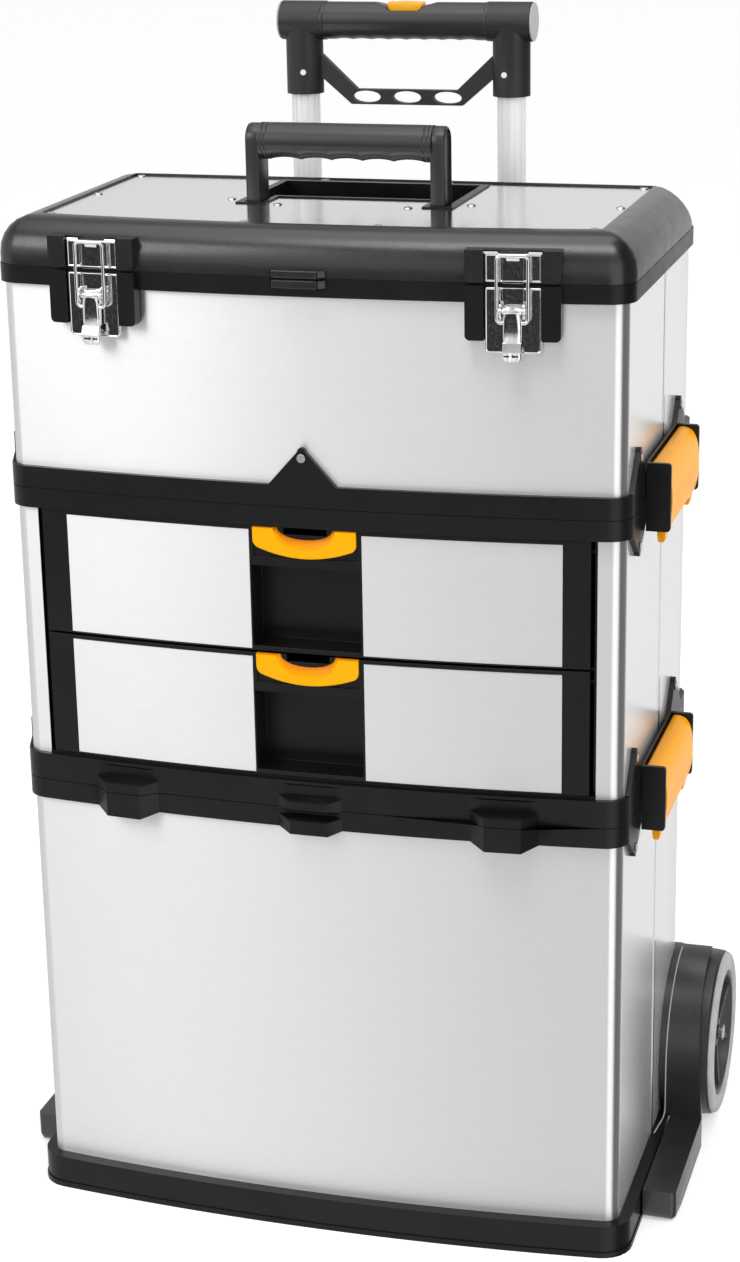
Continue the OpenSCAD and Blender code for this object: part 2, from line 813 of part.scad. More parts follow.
module wheel_hub(side) {
    r0 = wheel_d / 2 - tyre_t - 0.1;
    boss_r = 13;
    web = 5;
    mid = wheel_w / 2 - web / 2;
    color(black) about_axle(side) difference() {
        union() {
            translate([0, 0, 1.5]) difference() {
                cylinder(r = r0, h = wheel_w - 3, $fn = 96);
                translate([0, 0, -1]) cylinder(r = r0 - 5, h = wheel_w, $fn = 96);
            }
            translate([0, 0, mid]) cylinder(r = r0 - 1, h = web, $fn = 96);
            translate([0, 0, hub_in]) cylinder(r = boss_r, h = hub_l);
            for (i = [0:hub_ribs - 1]) rotate([0, 0, i * 360 / hub_ribs])
                block(boss_r - 2, r0 - 3, -1.5, 1.5, mid - 7, mid + web + 7);
        }
        translate([0, 0, -1]) cylinder(d = bolt_d + 2 * run_fit, h = wheel_w + 2);
    }
}

module tyre_left() { tyre(-1); }
module tyre_right() { tyre(1); }
module wheel_hub_left() { wheel_hub(-1); }
module wheel_hub_right() { wheel_hub(1); }

// Moulded block in each back corner of the bin, behind the steel, that carries the axle bolt.
module axle_blocks() {
    z0 = axle_z - axle_block_h / 2;
    z1 = axle_z + axle_block_h / 2;
    color(black) both_sides() difference() {
        intersection() {
            sheet_slab(z0, z1, wall_in);
            block(axle_block_x, rim_w, axle_y - axle_block_h / 2, rim_d, z0, z1);
        }
        rod_x(axle_block_x - 1, rim_w, axle_y, axle_z, bolt_d + 0.1);
    }
}

// Shoulder bolt from outside the hub, screwed into the block in the bin, spacer behind the hub.
module axle_bolts() {
    head_x = wheel_x + hub_in + hub_l + 0.4;
    color("silver") both_sides() {
        rod_x(axle_block_x - 3, head_x, axle_y, axle_z, bolt_d);
        rod_x(head_x, head_x + bolt_head_h, axle_y, axle_z, bolt_head_d);
        difference() {
            rod_x(guard_x, wheel_x + hub_in - flat_fit, axle_y, axle_z, 2 * bolt_d);
            rod_x(guard_x - 1, wheel_x + 1, axle_y, axle_z, bolt_d + 0.1);
        }
    }
}

// ---- trolley handle ----

module at_tubes(z) {
    for (x = [-tube_x, tube_x]) translate([x, tube_y, z]) children();
}

module bracket(z0, z1) {
    y0 = back_y - wall_inset;
    r = fixed_d / 2 + 4;
    block(-tube_x - r, tube_x + r, y0, y0 + 8, z0, z1);
    for (x = [-tube_x, tube_x]) {
        block(x - r, x + r, y0, tube_y, z0, z1);
        translate([x, tube_y, z0]) cylinder(r = r, h = z1 - z0);
    }
}

module tube_brackets() {
    low = guide_z0 + 10;
    color(black) {
        difference() {
            bracket(low, low + bracket_h);
            at_tubes(low - 1) cylinder(d = fixed_d + 0.1, h = bracket_h + 2);
        }
        difference() {
            bracket(fixed_top - bracket_h, fixed_top + 5);
            at_tubes(fixed_top - bracket_h - 1) cylinder(d = fixed_d + 0.1, h = bracket_h + 1);
            at_tubes(fixed_top - 1) cylinder(d = tube_d + 2 * slide_fit, h = 10);
        }
    }
}

module fixed_tubes() {
    color("silver") at_tubes(guide_z0) difference() {
        cylinder(d = fixed_d, h = fixed_top - guide_z0);
        translate([0, 0, -1]) cylinder(d = tube_d + 2 * slide_fit, h = fixed_top);
    }
}

// Sliding tubes with their shallow grooves.
module sliding_tubes() {
    grooves = 14;
    color("gainsboro") difference() {
        at_tubes(tube_bottom) linear_extrude(tube_top - tube_bottom) difference() {
            circle(d = tube_d);
            circle(d = tube_d - 2 * tube_wall);
            for (i = [0:grooves - 1]) rotate((i + 0.5) * 360 / grooves)
                translate([tube_d / 2 - 0.5, -0.6]) square([2, 1.2]);
        }
        tee_pin_holes();
    }
}

// Cross holes for the pins that hold the tubes in the stems.
module tee_pin_holes() {
    for (x = [-tee_pin_x, tee_pin_x])
        rod_y(x, tube_y - sleeve_d, tube_y + sleeve_d, bar_z - tee_pin_drop, tee_pin_d + 0.2);
}

module tube_bushes() {
    color("#3a3b3d") at_tubes(tube_bottom - bush_h) {
        cylinder(d = tube_d + 2 * slide_fit - 0.2, h = bush_h);
        cylinder(d = tube_d - 2 * tube_wall - 0.1, h = bush_h + bush_plug);
    }
}

module handle_tees() {
    z0 = bar_z - stem_drop;
    color(black) both_sides() difference() {
        union() {
            rod_x(sleeve_x, bar_w / 2, tube_y, bar_z, sleeve_d);
            translate([tube_x, tube_y, z0]) cylinder(d = stem_d, h = stem_drop);
        }
        translate([tube_x, tube_y, z0 - 1]) cylinder(d = tube_d + 0.2, h = tube_top - z0 + 1.5);
        translate([tube_x, tube_y, z0]) cylinder(d = 9, h = stem_drop + 6);
        rod_x(sleeve_x - 1, bar_w / 2 + 1, tube_y, bar_z, spigot_d + 0.2);
        tee_pin_holes();
    }
}

module handle_grip() {
    reach = 14;
    dip = 5;
    top = bar_z + grip_d / 2;
    color(black) difference() {
        union() {
            rod_x(-sleeve_x, sleeve_x, tube_y, bar_z, grip_d);
            for (x = [-sleeve_x, sleeve_x - 3]) rod_x(x, x + 3, tube_y, bar_z, grip_d + 1.2);
            rod_x(-sleeve_x - reach, sleeve_x + reach, tube_y, bar_z, spigot_d);
        }
        xz_extrude(tube_y - grip_d, tube_y + grip_d) polygon([[-button_l / 2 - 12, top + 1],
            [-button_l / 2 - 2, top - dip], [button_l / 2 + 2, top - dip], [button_l / 2 + 12, top + 1]]);
        rod_x(-rim_w, rim_w, tube_y, bar_z - button_travel / 2, rod_cell);
        block(-button_l / 2 - 0.4, button_l / 2 + 0.4, tube_y - button_w / 2 - 0.4,
            tube_y + button_w / 2 + 0.4, bar_z - 8, top + 1);
    }
}

module handle_end_caps() {
    color("#bfc0c2") both_sides() {
        rod_x(bar_w / 2, bar_w / 2 + 2, tube_y, bar_z, sleeve_d - 1);
        rod_x(bar_w / 2 - 9, bar_w / 2 + 1, tube_y, bar_z, spigot_d);
    }
}

// Brace between the stems: slanting arms, level part with three long holes.
module handle_brace() {
    z0 = bar_z - brace_drop - brace_h / 2;
    z1 = z0 + brace_h;
    z_arm = z0 + brace_rise;
    xs = tube_x - stem_d / 2 + 1.4;
    hole_h = brace_h - 2.4;
    oval = [for (a = [0:9:351]) [brace_hole_l / 2 * cos(a), hole_h / 2 * sin(a)]];
    color(black) difference() {
        xz_extrude(tube_y - brace_t / 2, tube_y + brace_t / 2) difference() {
            polygon([[-brace_l / 2, z0], [brace_l / 2, z0], [xs, z_arm], [xs, z_arm + brace_arm_h],
                [brace_l / 2 - 5, z1], [5 - brace_l / 2, z1], [-xs, z_arm + brace_arm_h], [-xs, z_arm]]);
            for (i = [-1:1]) translate([i * brace_hole_pitch, z0 + brace_h / 2]) polygon(oval);
        }
        at_tubes(z0 - 1) cylinder(d = stem_d + 0.1, h = brace_rise + brace_arm_h + 2);
    }
}

// Short pins through the stem and the tube's wall, from the front and from the back.
module tee_pins() {
    outer = stem_d / 2 + 0.4;
    inner = tube_d / 2 - tube_wall - 1.5;
    color(steel) for (x = [-tee_pin_x, tee_pin_x], y = [tube_y - outer, tube_y + inner])
        rod_y(x, y, y + outer - inner, bar_z - tee_pin_drop, tee_pin_d);
}

module release_button() {
    top = bar_z + grip_d / 2;
    z0 = bar_z + rod_d / 2;
    color(yellow) xz_extrude(tube_y - button_w / 2, tube_y + button_w / 2)
        polygon([[-button_l / 2, z0], [button_l / 2, z0], [button_l / 2, top - 1.6],
            [button_l / 2 - 4, top], [4 - button_l / 2, top], [-button_l / 2, top - 1.6]]);
}

// Release bar in the grip with a rod down each tube.
module release_rods() {
    color("silver") {
        rod_x(-tube_x, tube_x, tube_y, bar_z, rod_d);
        at_tubes(rod_z0) cylinder(d = rod_d, h = bar_z - rod_z0);
    }
}

// ---- drawer unit ----

module unit_base() {
    z_boss = z_unit + boss_up;
    color(black) {
        difference() {
            tier_foot(z_unit, unit_foot_h);
            for (x = [-boss_x, 0, boss_x])
                front_scoop(x, z_boss + boss_ramp, z_unit + unit_foot_h - 2);
        }
        for (x = [-boss_x, boss_x])
            front_boss(x, boss_half, boss_flat, boss_out, z_unit + seam_gap, z_boss, high = boss_ramp);
        front_boss(0, mid_boss_half, mid_boss_flat, mid_boss_out, z_unit + seam_gap, z_boss, 0, boss_ramp);
        bow_panel(flat_fit - opening_x, opening_x - flat_fit, wall_out - 1, lip_in,
            z_unit + wall_z0 - 1, opening_z0);
        side_lugs(z_unit + unit_foot_h, 1);
    }
}

module unit_rim() {
    color(black) {
        tier_rim(z_box, unit_rim_h);
        sheet_slab(z_box - mould_t, z_box, wall_out - 1);
        bow_panel(flat_fit - opening_x, opening_x - flat_fit, wall_out - 1, lip_in, opening_z1, z_box - 1);
        side_lugs(opening_z1, -1);
    }
}

module unit_wall() {
    color(steel) difference() {
        steel_wall(z_unit + wall_z0, z_box - mould_t);
        block(-opening_x, opening_x, -rim_d, 0, z_unit, z_box);
        side_rivet_holes(z_unit + unit_foot_h, 1);
        side_rivet_holes(opening_z1, -1);
    }
}

// Side liners with a runner under and a guide over each drawer.
module unit_runners() {
    x0 = opening_x - 3;
    color(black) both_sides() {
        block(x0, opening_x, runner_y0, runner_y1, z_unit + wall_z0, z_box - mould_t);
        for (z = [lower_z - runner_gap - runner_t, lower_z + tub_h + runner_gap,
                upper_z - runner_gap - runner_t, upper_z + tub_h + runner_gap])
            block(x0 - runner_w, x0 + eps, runner_y0, runner_y1, z, z + runner_t);
        for (z = [z_unit + wall_z0, z_box - mould_t - runner_t])
            block(opening_x - eps, opening_x + 9, runner_y0 + 20, runner_y1, z, z + runner_t);
    }
}

// Lug rivets, clip pins and the screws that hold the liners.
module unit_fasteners() {
    color(steel) {
        side_rivets(z_unit + unit_foot_h, 1);
        side_rivets(opening_z1, -1);
        clip_pins(z_unit);
        both_sides() for (y = [runner_y0 + 40, runner_y1 - 20])
            translate([opening_x + 5, y, z_unit + wall_z0 + runner_t]) cylinder(d = 7, h = 2);
    }
}

module unit_clip_frames() { clip_frame(z_unit); }
module unit_clip_right() { clip_lever(z_unit); }
module unit_clip_left() { mirror([1, 0, 0]) clip_lever(z_unit); }

// ---- drawers ----

// Face of the pull: bottom edge a parabola, top edge with a rounded scoop.
module pull_shape(z0) {
    n = 16;
    top = z0 + front_h;
    scoop = 10;
    scoop_half = 23;
    xz_extrude(-rim_d, 0) polygon(concat(
        [for (i = [0:n]) let (x = pull_half * (2 * i / n - 1))
            [x, top - pull_h + 9 * pow(x / pull_half, 2)]],
        [[pull_half, top]],
        [for (i = [0:n]) let (x = scoop_half * (1 - 2 * i / n))
            [x, top - scoop * (1 + cos(180 * x / scoop_half)) / 2]],
        [[-pull_half, top]]));
}

module drawer(z0) {
    z1 = z0 + front_h;
    back = front_y - front_bow + front_in + recess_depth;
    color(black) difference() {
        union() {
            bow_panel(-front_w / 2, front_w / 2, front_in, front_in + front_t, z0, z1);
            intersection() {
                slab(z0, z0 + tub_h, front_in + 1);
                difference() {
                    block(-tub_x, tub_x, -rim_d, tub_y1, z0, z0 + tub_h);
                    block(drawer_t - tub_x, tub_x - drawer_t, -rim_d - 1, tub_y1 - drawer_t,
                        z0 + drawer_t, z1);
                }
            }
            intersection() {
                slab(z0, z1, front_in + 1);
                block(-recess_w / 2 - drawer_t, recess_w / 2 + drawer_t, -rim_d, back + drawer_t,
                    z0, z0 + recess_z1 + drawer_t);
            }
        }
        block(-recess_w / 2, recess_w / 2, -rim_d, back, z0 + recess_z0, z0 + recess_z1);
        for (side = [-1, 1])
            bow_panel(side < 0 ? -plate_x1 - 0.3 : plate_x0 - 0.3, side < 0 ? 0.3 - plate_x0 : plate_x1 + 0.3,
                -1, plate_in + plate_t + 0.05, z0 + 0.8, z1 - 3.2);
        intersection() {
            bow_panel(-pull_half - 0.2, pull_half + 0.2, -1, pull_back + 0.05, z0, z1 + 1);
            block(-rim_w, rim_w, -rim_d, 0, z1 - pull_h - 0.2, z1 + 1);
        }
        block(-18, 18, -rim_d, back, z1 - 6, z1 + 1);
    }
}

module drawer_plates(z0) {
    color(steel) for (side = [-1, 1])
        bow_panel(side < 0 ? -plate_x1 : plate_x0, side < 0 ? -plate_x0 : plate_x1,
            plate_in, plate_in + plate_t, z0 + 1.1, z0 + front_h - 3.5);
}

module drawer_pull(z0) {
    color(yellow) intersection() {
        bow_panel(-pull_half, pull_half, pull_in, pull_back, z0, z0 + front_h);
        pull_shape(z0);
    }
}

module drawer_upper() { drawer(upper_z); }
module drawer_upper_plates() { drawer_plates(upper_z); }
module drawer_upper_pull() { drawer_pull(upper_z); }
module drawer_lower() { drawer(lower_z); }
module drawer_lower_plates() { drawer_plates(lower_z); }
module drawer_lower_pull() { drawer_pull(lower_z); }

// ---- top box ----

module box_base() {
    z1 = z_box + box_foot_h;
    color(black) {
        tier_foot(z_box, box_foot_h);
        side_lugs(z1, 1);
        translate([0, 0, z1]) xz_extrude(front_y - front_bow, front_y - front_bow + wall_out - 0.05)
            lug_shape(lug_h);
    }
}

module box_front_wall() {
    z_foot = z_box + box_foot_h;
    color(steel) difference() {
        front_sheet(z_box + wall_z0, z_lid - mould_t);
        side_rivet_holes(z_foot, 1);
        rod_y(0, -rim_d, 0, z_foot + lug_h - rivet_drop, rivet_shank + 0.2);
    }
}

module box_back_wall() {
    color(steel) difference() {
        back_sheet(z_box + wall_z0, z_lid - mould_t);
        side_rivet_holes(z_box + box_foot_h, 1);
    }
}

// Lug rivets and clip pins.
module box_fasteners() {
    color(steel) {
        side_rivets(z_box + box_foot_h, 1);
        translate([0, front_y - front_bow, z_box + box_foot_h + lug_h - rivet_drop]) rotate([0, 0, -90])
            rivet_x([0, 0, 0]);
        clip_pins(z_box);
    }
}

module box_clip_frames() { clip_frame(z_box); }
module box_clip_right() { clip_lever(z_box); }
module box_clip_left() { mirror([1, 0, 0]) clip_lever(z_box); }

// ---- latches, drawn in a frame that stands on the bowed front ----

module at_latch(side) {
    x = side * latch_x;
    translate([x, bow_y(x), 0]) rotate([0, 0, bow_turn(x)]) children();
}

// Pad behind a latch: two proud bars beside a recessed web.
module latch_pad(z0, z1, root) {
    r = 4;
    inner = latch_w / 2 + 0.5;
    outer = latch_pad_w / 2;
    both_sides() xz_extrude(-pad_out, root)
        polygon(concat([[inner, z1], [inner, z0]], arc(outer - r, z0 + r, r, 270, 360, 5, 0), [[outer, z1]]));
    block(-inner - eps, inner + eps, -pad_web, root, z0, z1);
}

module box_rim() {
    color(black) {
        tier_rim(z_lid, box_rim_h);
        for (side = [-1, 1]) at_latch(side) latch_pad(z_lid - latch_pad_low, z_lid - seam_gap, pad_root);
        front_boss(0, 22, 18, 6, z_lid - 8.5, z_lid - 0.4);
    }
}

// Lower latch plate with rounded lower corners and two ears for the lever's pin.
module latch_plate() {
    r = 4;
    z0 = z_lid - latch_low;
    z1 = z_lid - 2.3;
    w = latch_w / 2;
    ear_x = lever_w / 2 + 0.4;
    xz_extrude(plate_y, plate_y + latch_t) polygon(concat([[-w, z1]],
        arc(r - w, z0 + r, r, 180, 270, 5, 0), arc(w - r, z0 + r, r, 270, 360, 5, 0), [[w, z1]]));
    both_sides() difference() {
        union() {
            block(ear_x, ear_x + ear_t, lever_y, plate_y + eps, lever_z - 4, lever_z + 4);
            rod_x(ear_x, ear_x + ear_t, lever_y, lever_z, 8);
        }
        rod_x(ear_x - 1, ear_x + 3, lever_y, lever_z, lever_pin_d + 0.1);
    }
    rod_x(-ear_x - ear_t - 0.6, ear_x + ear_t + 0.6, lever_y, lever_z, lever_pin_d);
}

module latch_plates() {
    color("silver") for (side = [-1, 1]) at_latch(side) latch_plate();
}

// Lever: channel with a knuckle on the pin, a cross bar and a turned-out tip.
module latch_lever(side) {
    w = lever_w / 2;
    z1 = lever_z - lever_l;
    face = lever_y - 1.9;
    color("silver") at_latch(side) difference() {
        union() {
            rod_x(-w, w, lever_y, lever_z, lever_pin_d + 3.6);
            block(-w, w, face, face + 1.6, z1 + 8, lever_z);
            both_sides() block(w - 1.4, w, face, plate_y - 0.8, z1 + 20, lever_z - 4);
            block(1 - w, w - 1, face - 1.8, face + 1, z1 + 9, z1 + 15);
            yz_extrude(0.5 - w, w - 0.5) polygon([[face + 1.6, z1 + 9], [face + 2.6, z1 + 3],
                [face - 0.4, z1], [face - 2.6, z1 + 3], [face - 1, z1 + 9]]);
        }
        rod_x(-w - 1, w + 1, lever_y, lever_z, lever_pin_d + 2 * 0.06);
        rod_x(-w - 1, w + 1, bail_pin_y, lever_z - bail_drop, bail_d + 0.2);
    }
}

// Bail: a wire frame whose turned-in ends sit in the lever.
module latch_bail(side) {
    z0 = lever_z - bail_drop;
    z1 = z_lid + bail_up;
    color("silver") at_latch(side) {
        both_sides() {
            translate([bail_x, bail_pin_y, z0]) cylinder(d = bail_d, h = z1 - z0, $fn = 32);
            rod_x(lever_w / 2 - 1.2, bail_x, bail_pin_y, z0, bail_d);
            translate([bail_x, bail_pin_y, z0]) sphere(d = bail_d, $fn = 32);
            translate([bail_x, bail_pin_y, z1]) sphere(d = bail_d, $fn = 32);
        }
        rod_x(-bail_x, bail_x, bail_pin_y, z1, bail_d);
    }
}

module latch_lever_left() { latch_lever(-1); }
module latch_lever_right() { latch_lever(1); }
module latch_bail_left() { latch_bail(-1); }
module latch_bail_right() { latch_bail(1); }

// Keeper on the lid: plate with a raised centre strip that ends in a lip, and two top flanges.
module latch_keepers() {
    z0 = z_lid + 1.7;
    z1 = z_lid + keeper_up;
    w = latch_w / 2 - 0.15;
    color("silver") for (side = [-1, 1]) at_latch(side) {
        block(-w, w, plate_y, plate_y + latch_t, z0, z1);
        block(-6.8, 6.8, plate_y - 0.6, plate_y + eps, z0, z1 - 1);
        yz_extrude(-6.8, 6.8) polygon([[plate_y, z1 - 4], [plate_y, z1 - 1], [plate_y - 2, z1 - 0.6],
            [plate_y - 2, z1 - 3]]);
        both_sides() block(8, w, plate_y - 2, plate_y + eps, z1 - 1.2, z1);
    }
}

// ---- lid ----

// Barrel piece with the web that joins it to its leaf, below the axis (-1) or over it (1).
module hinge_knuckle(x0, x1, up) {
    rod_x(x0, x1, hinge_y, z_lid, barrel_d);
    block(x0, x1, back_y, hinge_y, z_lid + (up > 0 ? 0 : -3.4), z_lid + (up > 0 ? 3.4 : 0));
}

module box_hinges() {
    color("silver") for (x = [-hinge_x, hinge_x]) {
        x0 = x - hinge_l / 2;
        difference() {
            union() {
                block(x0, x0 + hinge_l, back_y, back_y + leaf_t, z_lid - box_rim_h + 1, z_lid - 3.2);
                hinge_knuckle(x0, x0 + knuckle, -1);
                hinge_knuckle(x0 + 2 * knuckle, x0 + hinge_l, -1);
            }
            rod_x(x0 - 1, x0 + hinge_l + 1, hinge_y, z_lid, hinge_pin_d + 0.1);
        }
        rod_x(x0, x0 + hinge_l, hinge_y, z_lid, hinge_pin_d);
    }
}

// The lid's leaf runs up its back edge and a little way along the slope.
module lid_hinges() {
    rise = lid_top - back_edge_h;
    run = back_border - crest;
    s = 0.3;
    lift = 0.12;
    color("silver") for (x = [-hinge_x, hinge_x]) {
        x0 = x - hinge_l / 2;
        difference() {
            union() {
                yz_extrude(x0, x0 + hinge_l) polygon([[back_y + 0.05, z_lid + 3.2],
                    [back_y + leaf_t, z_lid + 3.2], [back_y + leaf_t, z_lid + back_edge_h + 0.5],
                    [back_y - run * s + leaf_t, z_lid + back_edge_h + rise * s + 0.5],
                    [back_y - run * s + 0.05, z_lid + back_edge_h + rise * s + lift],
                    [back_y + 0.05, z_lid + back_edge_h + lift]]);
                hinge_knuckle(x0 + knuckle + 0.2, x0 + 2 * knuckle - 0.2, 1);
            }
            rod_x(x0 - 1, x0 + hinge_l + 1, hinge_y, z_lid, hinge_pin_d + 0.1);
        }
    }
}

// Domed body of the lid, drawn in by g: level outlines from the edge up to the crest.
module lid_dome(g) {
    rise = lid_top - g - lid_edge_h;
    run = border - crest - g;
    slope = (back_border - crest) / (lid_top - back_edge_h);
    hull() {
        lid_slice(g > 0 ? z_lid - 1 : z_lid + seam_gap, g, g);
        lid_slice(z_lid + back_edge_h, g, g);
        for (i = [0:6]) {
            t = 15 * i;
            h = lid_edge_h + rise * sin(t);
            lid_slice(z_lid + h, g + run * (1 - cos(t)), max(g + (h - back_edge_h) * slope, g));
        }
    }
}

module lid_slice(z, side, back) {
    translate([0, 0, z]) linear_extrude(0.05)
        polygon(plan_pts(side, back, max(rim_r + 2 - side, 4), max(lid_back_r - side, 4)));
}

// Outline of the steel plate, drawn in by g.
module plate_plan(g) {
    polygon(plan_pts(border + g, back_border + g, 4, 4));
}

module lid_frame() {
    deck = z_plate - plate_t - mould_t;
    color(black) difference() {
        union() {
            difference() {
                union() {
                    lid_dome(0);
                    for (side = [-1, 1]) at_latch(side) latch_pad(z_lid + 1.7, z_lid + keeper_up + 0.6, 9);
                    front_boss(0, 22, 18, 6, z_lid + seam_gap, z_lid + 6);
                }
                lid_dome(mould_t);
            }
            translate([0, 0, deck]) linear_extrude(mould_t + 0.4) plate_plan(-1.5);
            difference() {
                slab(z_lid, z_lid + 2, groove);
                slab(z_lid - 1, z_lid + 3, groove + mould_t);
            }
        }
        sheet_slab(z_lid - 1, z_lid + nest_h + nest_gap, nest_in - nest_gap);
        translate([0, 0, z_plate - plate_t]) linear_extrude(10) plate_plan(0);
        translate([0, 0, deck - 1]) linear_extrude(10) tray_plan(pocket_wall + 0.3);
        screw_places() translate([0, 0, deck - 1]) cylinder(d = screw_d / 2, h = 10);
    }
}

module lid_plate() {
    color(steel) translate([0, 0, z_plate - plate_t]) linear_extrude(plate_t) difference() {
        plate_plan(0.4);
        tray_plan(pocket_wall + 0.3);
        screw_places() circle(d = screw_d / 2);
    }
}

module screw_places() {
    side = rim_w / 2 - border - screw_in;
    back = back_y - back_border - screw_in;
    for (sx = [-1, 1]) {
        for (y = [bow_y(side, border) + screw_in, -6, back]) translate([sx * side, y, 0]) children();
        translate([sx * (tray_x + 10), pivot_y + 4, 0]) children();
        for (y = [bow_y(55, border) + screw_in, tray_y0 - 1]) translate([sx * 55, y, 0]) children();
        translate([sx * 55, tray_y1 + tray_back / 2, 0]) children();
    }
}

module lid_screws() {
    color(steel) screw_places() translate([0, 0, z_plate]) {
        cylinder(d1 = screw_d, d2 = screw_d - 1.6, h = 0.9);
        translate([0, 0, -8]) cylinder(d = screw_d / 2 - 0.2, h = 8.5);
    }
}

// ---- carry handle and its tray ----

// Outline of the tray's pocket, grown by g: two slots for the posts before the grip's bay.
module tray_plan(g) {
    polygon([[-slot_x1 - g, pocket_y0 - g], [g - slot_x0, pocket_y0 - g], [g - slot_x0, pocket_mid - g],
        [slot_x0 - g, pocket_mid - g], [slot_x0 - g, pocket_y0 - g], [slot_x1 + g, pocket_y0 - g],
        [slot_x1 + g, pocket_y1 + g], [-slot_x1 - g, pocket_y1 + g]]);
}

module handle_tray() {
    z0 = z_plate - pocket_depth;
    x0 = slot_x0 - 4.5;
    color(black) difference() {
        union() {
            translate([0, 0, z_plate]) linear_extrude(flange_t) polygon([[-tray_x, tray_y0],
                [-x0, tray_y0], [-x0, tray_y0 + ledge_d], [x0, tray_y0 + ledge_d], [x0, tray_y0],
                [tray_x, tray_y0], [tray_x, tray_y1], [-tray_x, tray_y1]]);
            translate([0, 0, z0 - 2.5]) linear_extrude(pocket_depth + 2.5 + eps) tray_plan(pocket_wall);
        }
        translate([0, 0, z0]) linear_extrude(pocket_depth + 5) tray_plan(0);
        rod_x(-rim_w, rim_w, pivot_y, pivot_z, pivot_pin_d + 0.1);
    }
}

// Carry handle: two posts with round ends, hollowed outer faces, and a grip with finger waves.
module carry_handle() {
    gz = z_plate + carry_grip_z;
    x0 = carry_w / 2 - post_t;
    r = post_depth / 2;
    waves = 5;
    pitch = 2 * x0 / waves;
    depth = 3;
    wave_r = (pitch * pitch / 4 + depth * depth) / (2 * depth);
    color(black) difference() {
        union() {
            both_sides() yz_extrude(x0, x0 + post_t) post_shape(r, gz);
            rod_x(-x0 - eps, x0 + eps, pivot_y, gz, carry_grip_d);
        }
        intersection() {
            block(-x0, x0, pivot_y - carry_grip_d, pivot_y + carry_grip_d, gz - carry_grip_d, gz);
            for (i = [0:waves - 1])
                rod_y((i - (waves - 1) / 2) * pitch, pivot_y - carry_grip_d, pivot_y + carry_grip_d,
                    gz - carry_grip_d / 2 + depth - wave_r, 2 * wave_r);
        }
        both_sides() difference() {
            yz_extrude(x0 + post_t - 2, x0 + post_t + 1) post_shape(r - 2.4, gz);
            rod_x(0, rim_w, pivot_y, pivot_z, pivot_pin_d + 6);
        }
        rod_x(-rim_w, rim_w, pivot_y, pivot_z, pivot_pin_d + 2 * 0.08);
    }
}

module post_shape(r, gz) {
    translate([pivot_y, pivot_z]) circle(r);
    translate([pivot_y - r, pivot_z]) square([2 * r, gz - pivot_z]);
    translate([pivot_y, gz]) circle(r);
}

module handle_pins() {
    color(steel) both_sides()
        rod_x(slot_x0 - pocket_wall + 0.2, slot_x1 + pocket_wall - 0.2, pivot_y, pivot_z, pivot_pin_d);
}

bin_base();
bin_front_wall();
bin_back_wall();
bin_rim();
bin_rivets();
wheel_guard_left();
wheel_guard_right();
tyre_left();
tyre_right();
wheel_hub_left();
wheel_hub_right();
axle_bolts();
axle_blocks();
tube_brackets();
fixed_tubes();
sliding_tubes();
tube_bushes();
handle_tees();
handle_grip();
handle_end_caps();
handle_brace();
tee_pins();
release_button();
release_rods();
unit_base();
unit_rim();
unit_wall();
unit_runners();
unit_fasteners();
unit_clip_frames();
unit_clip_left();
unit_clip_right();
drawer_upper();
drawer_upper_plates();
drawer_upper_pull();
drawer_lower();
drawer_lower_plates();
drawer_lower_pull();
box_base();
box_front_wall();
box_back_wall();
box_rim();
box_fasteners();
box_clip_frames();
box_clip_left();
box_clip_right();
latch_plates();
latch_lever_left();
latch_lever_right();
latch_bail_left();
latch_bail_right();
box_hinges();
lid_hinges();
lid_frame();
lid_plate();
lid_screws();
latch_keepers();
handle_tray();
carry_handle();
handle_pins();
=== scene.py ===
import json
from math import asin, atan2, copysign, cos, hypot, pi, radians, sin, sqrt, tan

import bmesh
import bpy
from mathutils import Matrix, Vector


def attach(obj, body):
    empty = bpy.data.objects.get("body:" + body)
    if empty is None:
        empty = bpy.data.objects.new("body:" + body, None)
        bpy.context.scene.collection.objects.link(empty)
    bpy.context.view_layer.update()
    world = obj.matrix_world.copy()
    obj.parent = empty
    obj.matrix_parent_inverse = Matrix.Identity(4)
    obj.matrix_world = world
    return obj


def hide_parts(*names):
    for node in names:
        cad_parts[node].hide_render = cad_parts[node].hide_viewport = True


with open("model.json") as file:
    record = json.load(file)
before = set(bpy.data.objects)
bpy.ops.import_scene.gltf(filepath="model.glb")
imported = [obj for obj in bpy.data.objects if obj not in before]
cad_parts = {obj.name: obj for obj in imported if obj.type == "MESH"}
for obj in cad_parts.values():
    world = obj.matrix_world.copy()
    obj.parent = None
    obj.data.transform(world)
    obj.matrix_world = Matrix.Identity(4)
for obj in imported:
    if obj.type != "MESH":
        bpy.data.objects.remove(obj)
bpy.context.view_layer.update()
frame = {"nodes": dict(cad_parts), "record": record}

MM = 0.001

# ---- camera: the photograph's, found by fitting known sizes (metres and radians) ----
IMAGE_W, IMAGE_H = 740, 1262
FOCAL_PX = 2657.87
SENSOR = 36.0
CAMERA_AT = Vector((0.62179, -2.09673, 1.20037))
YAW, PITCH, ROLL = 0.2855, 0.3141, -0.0183

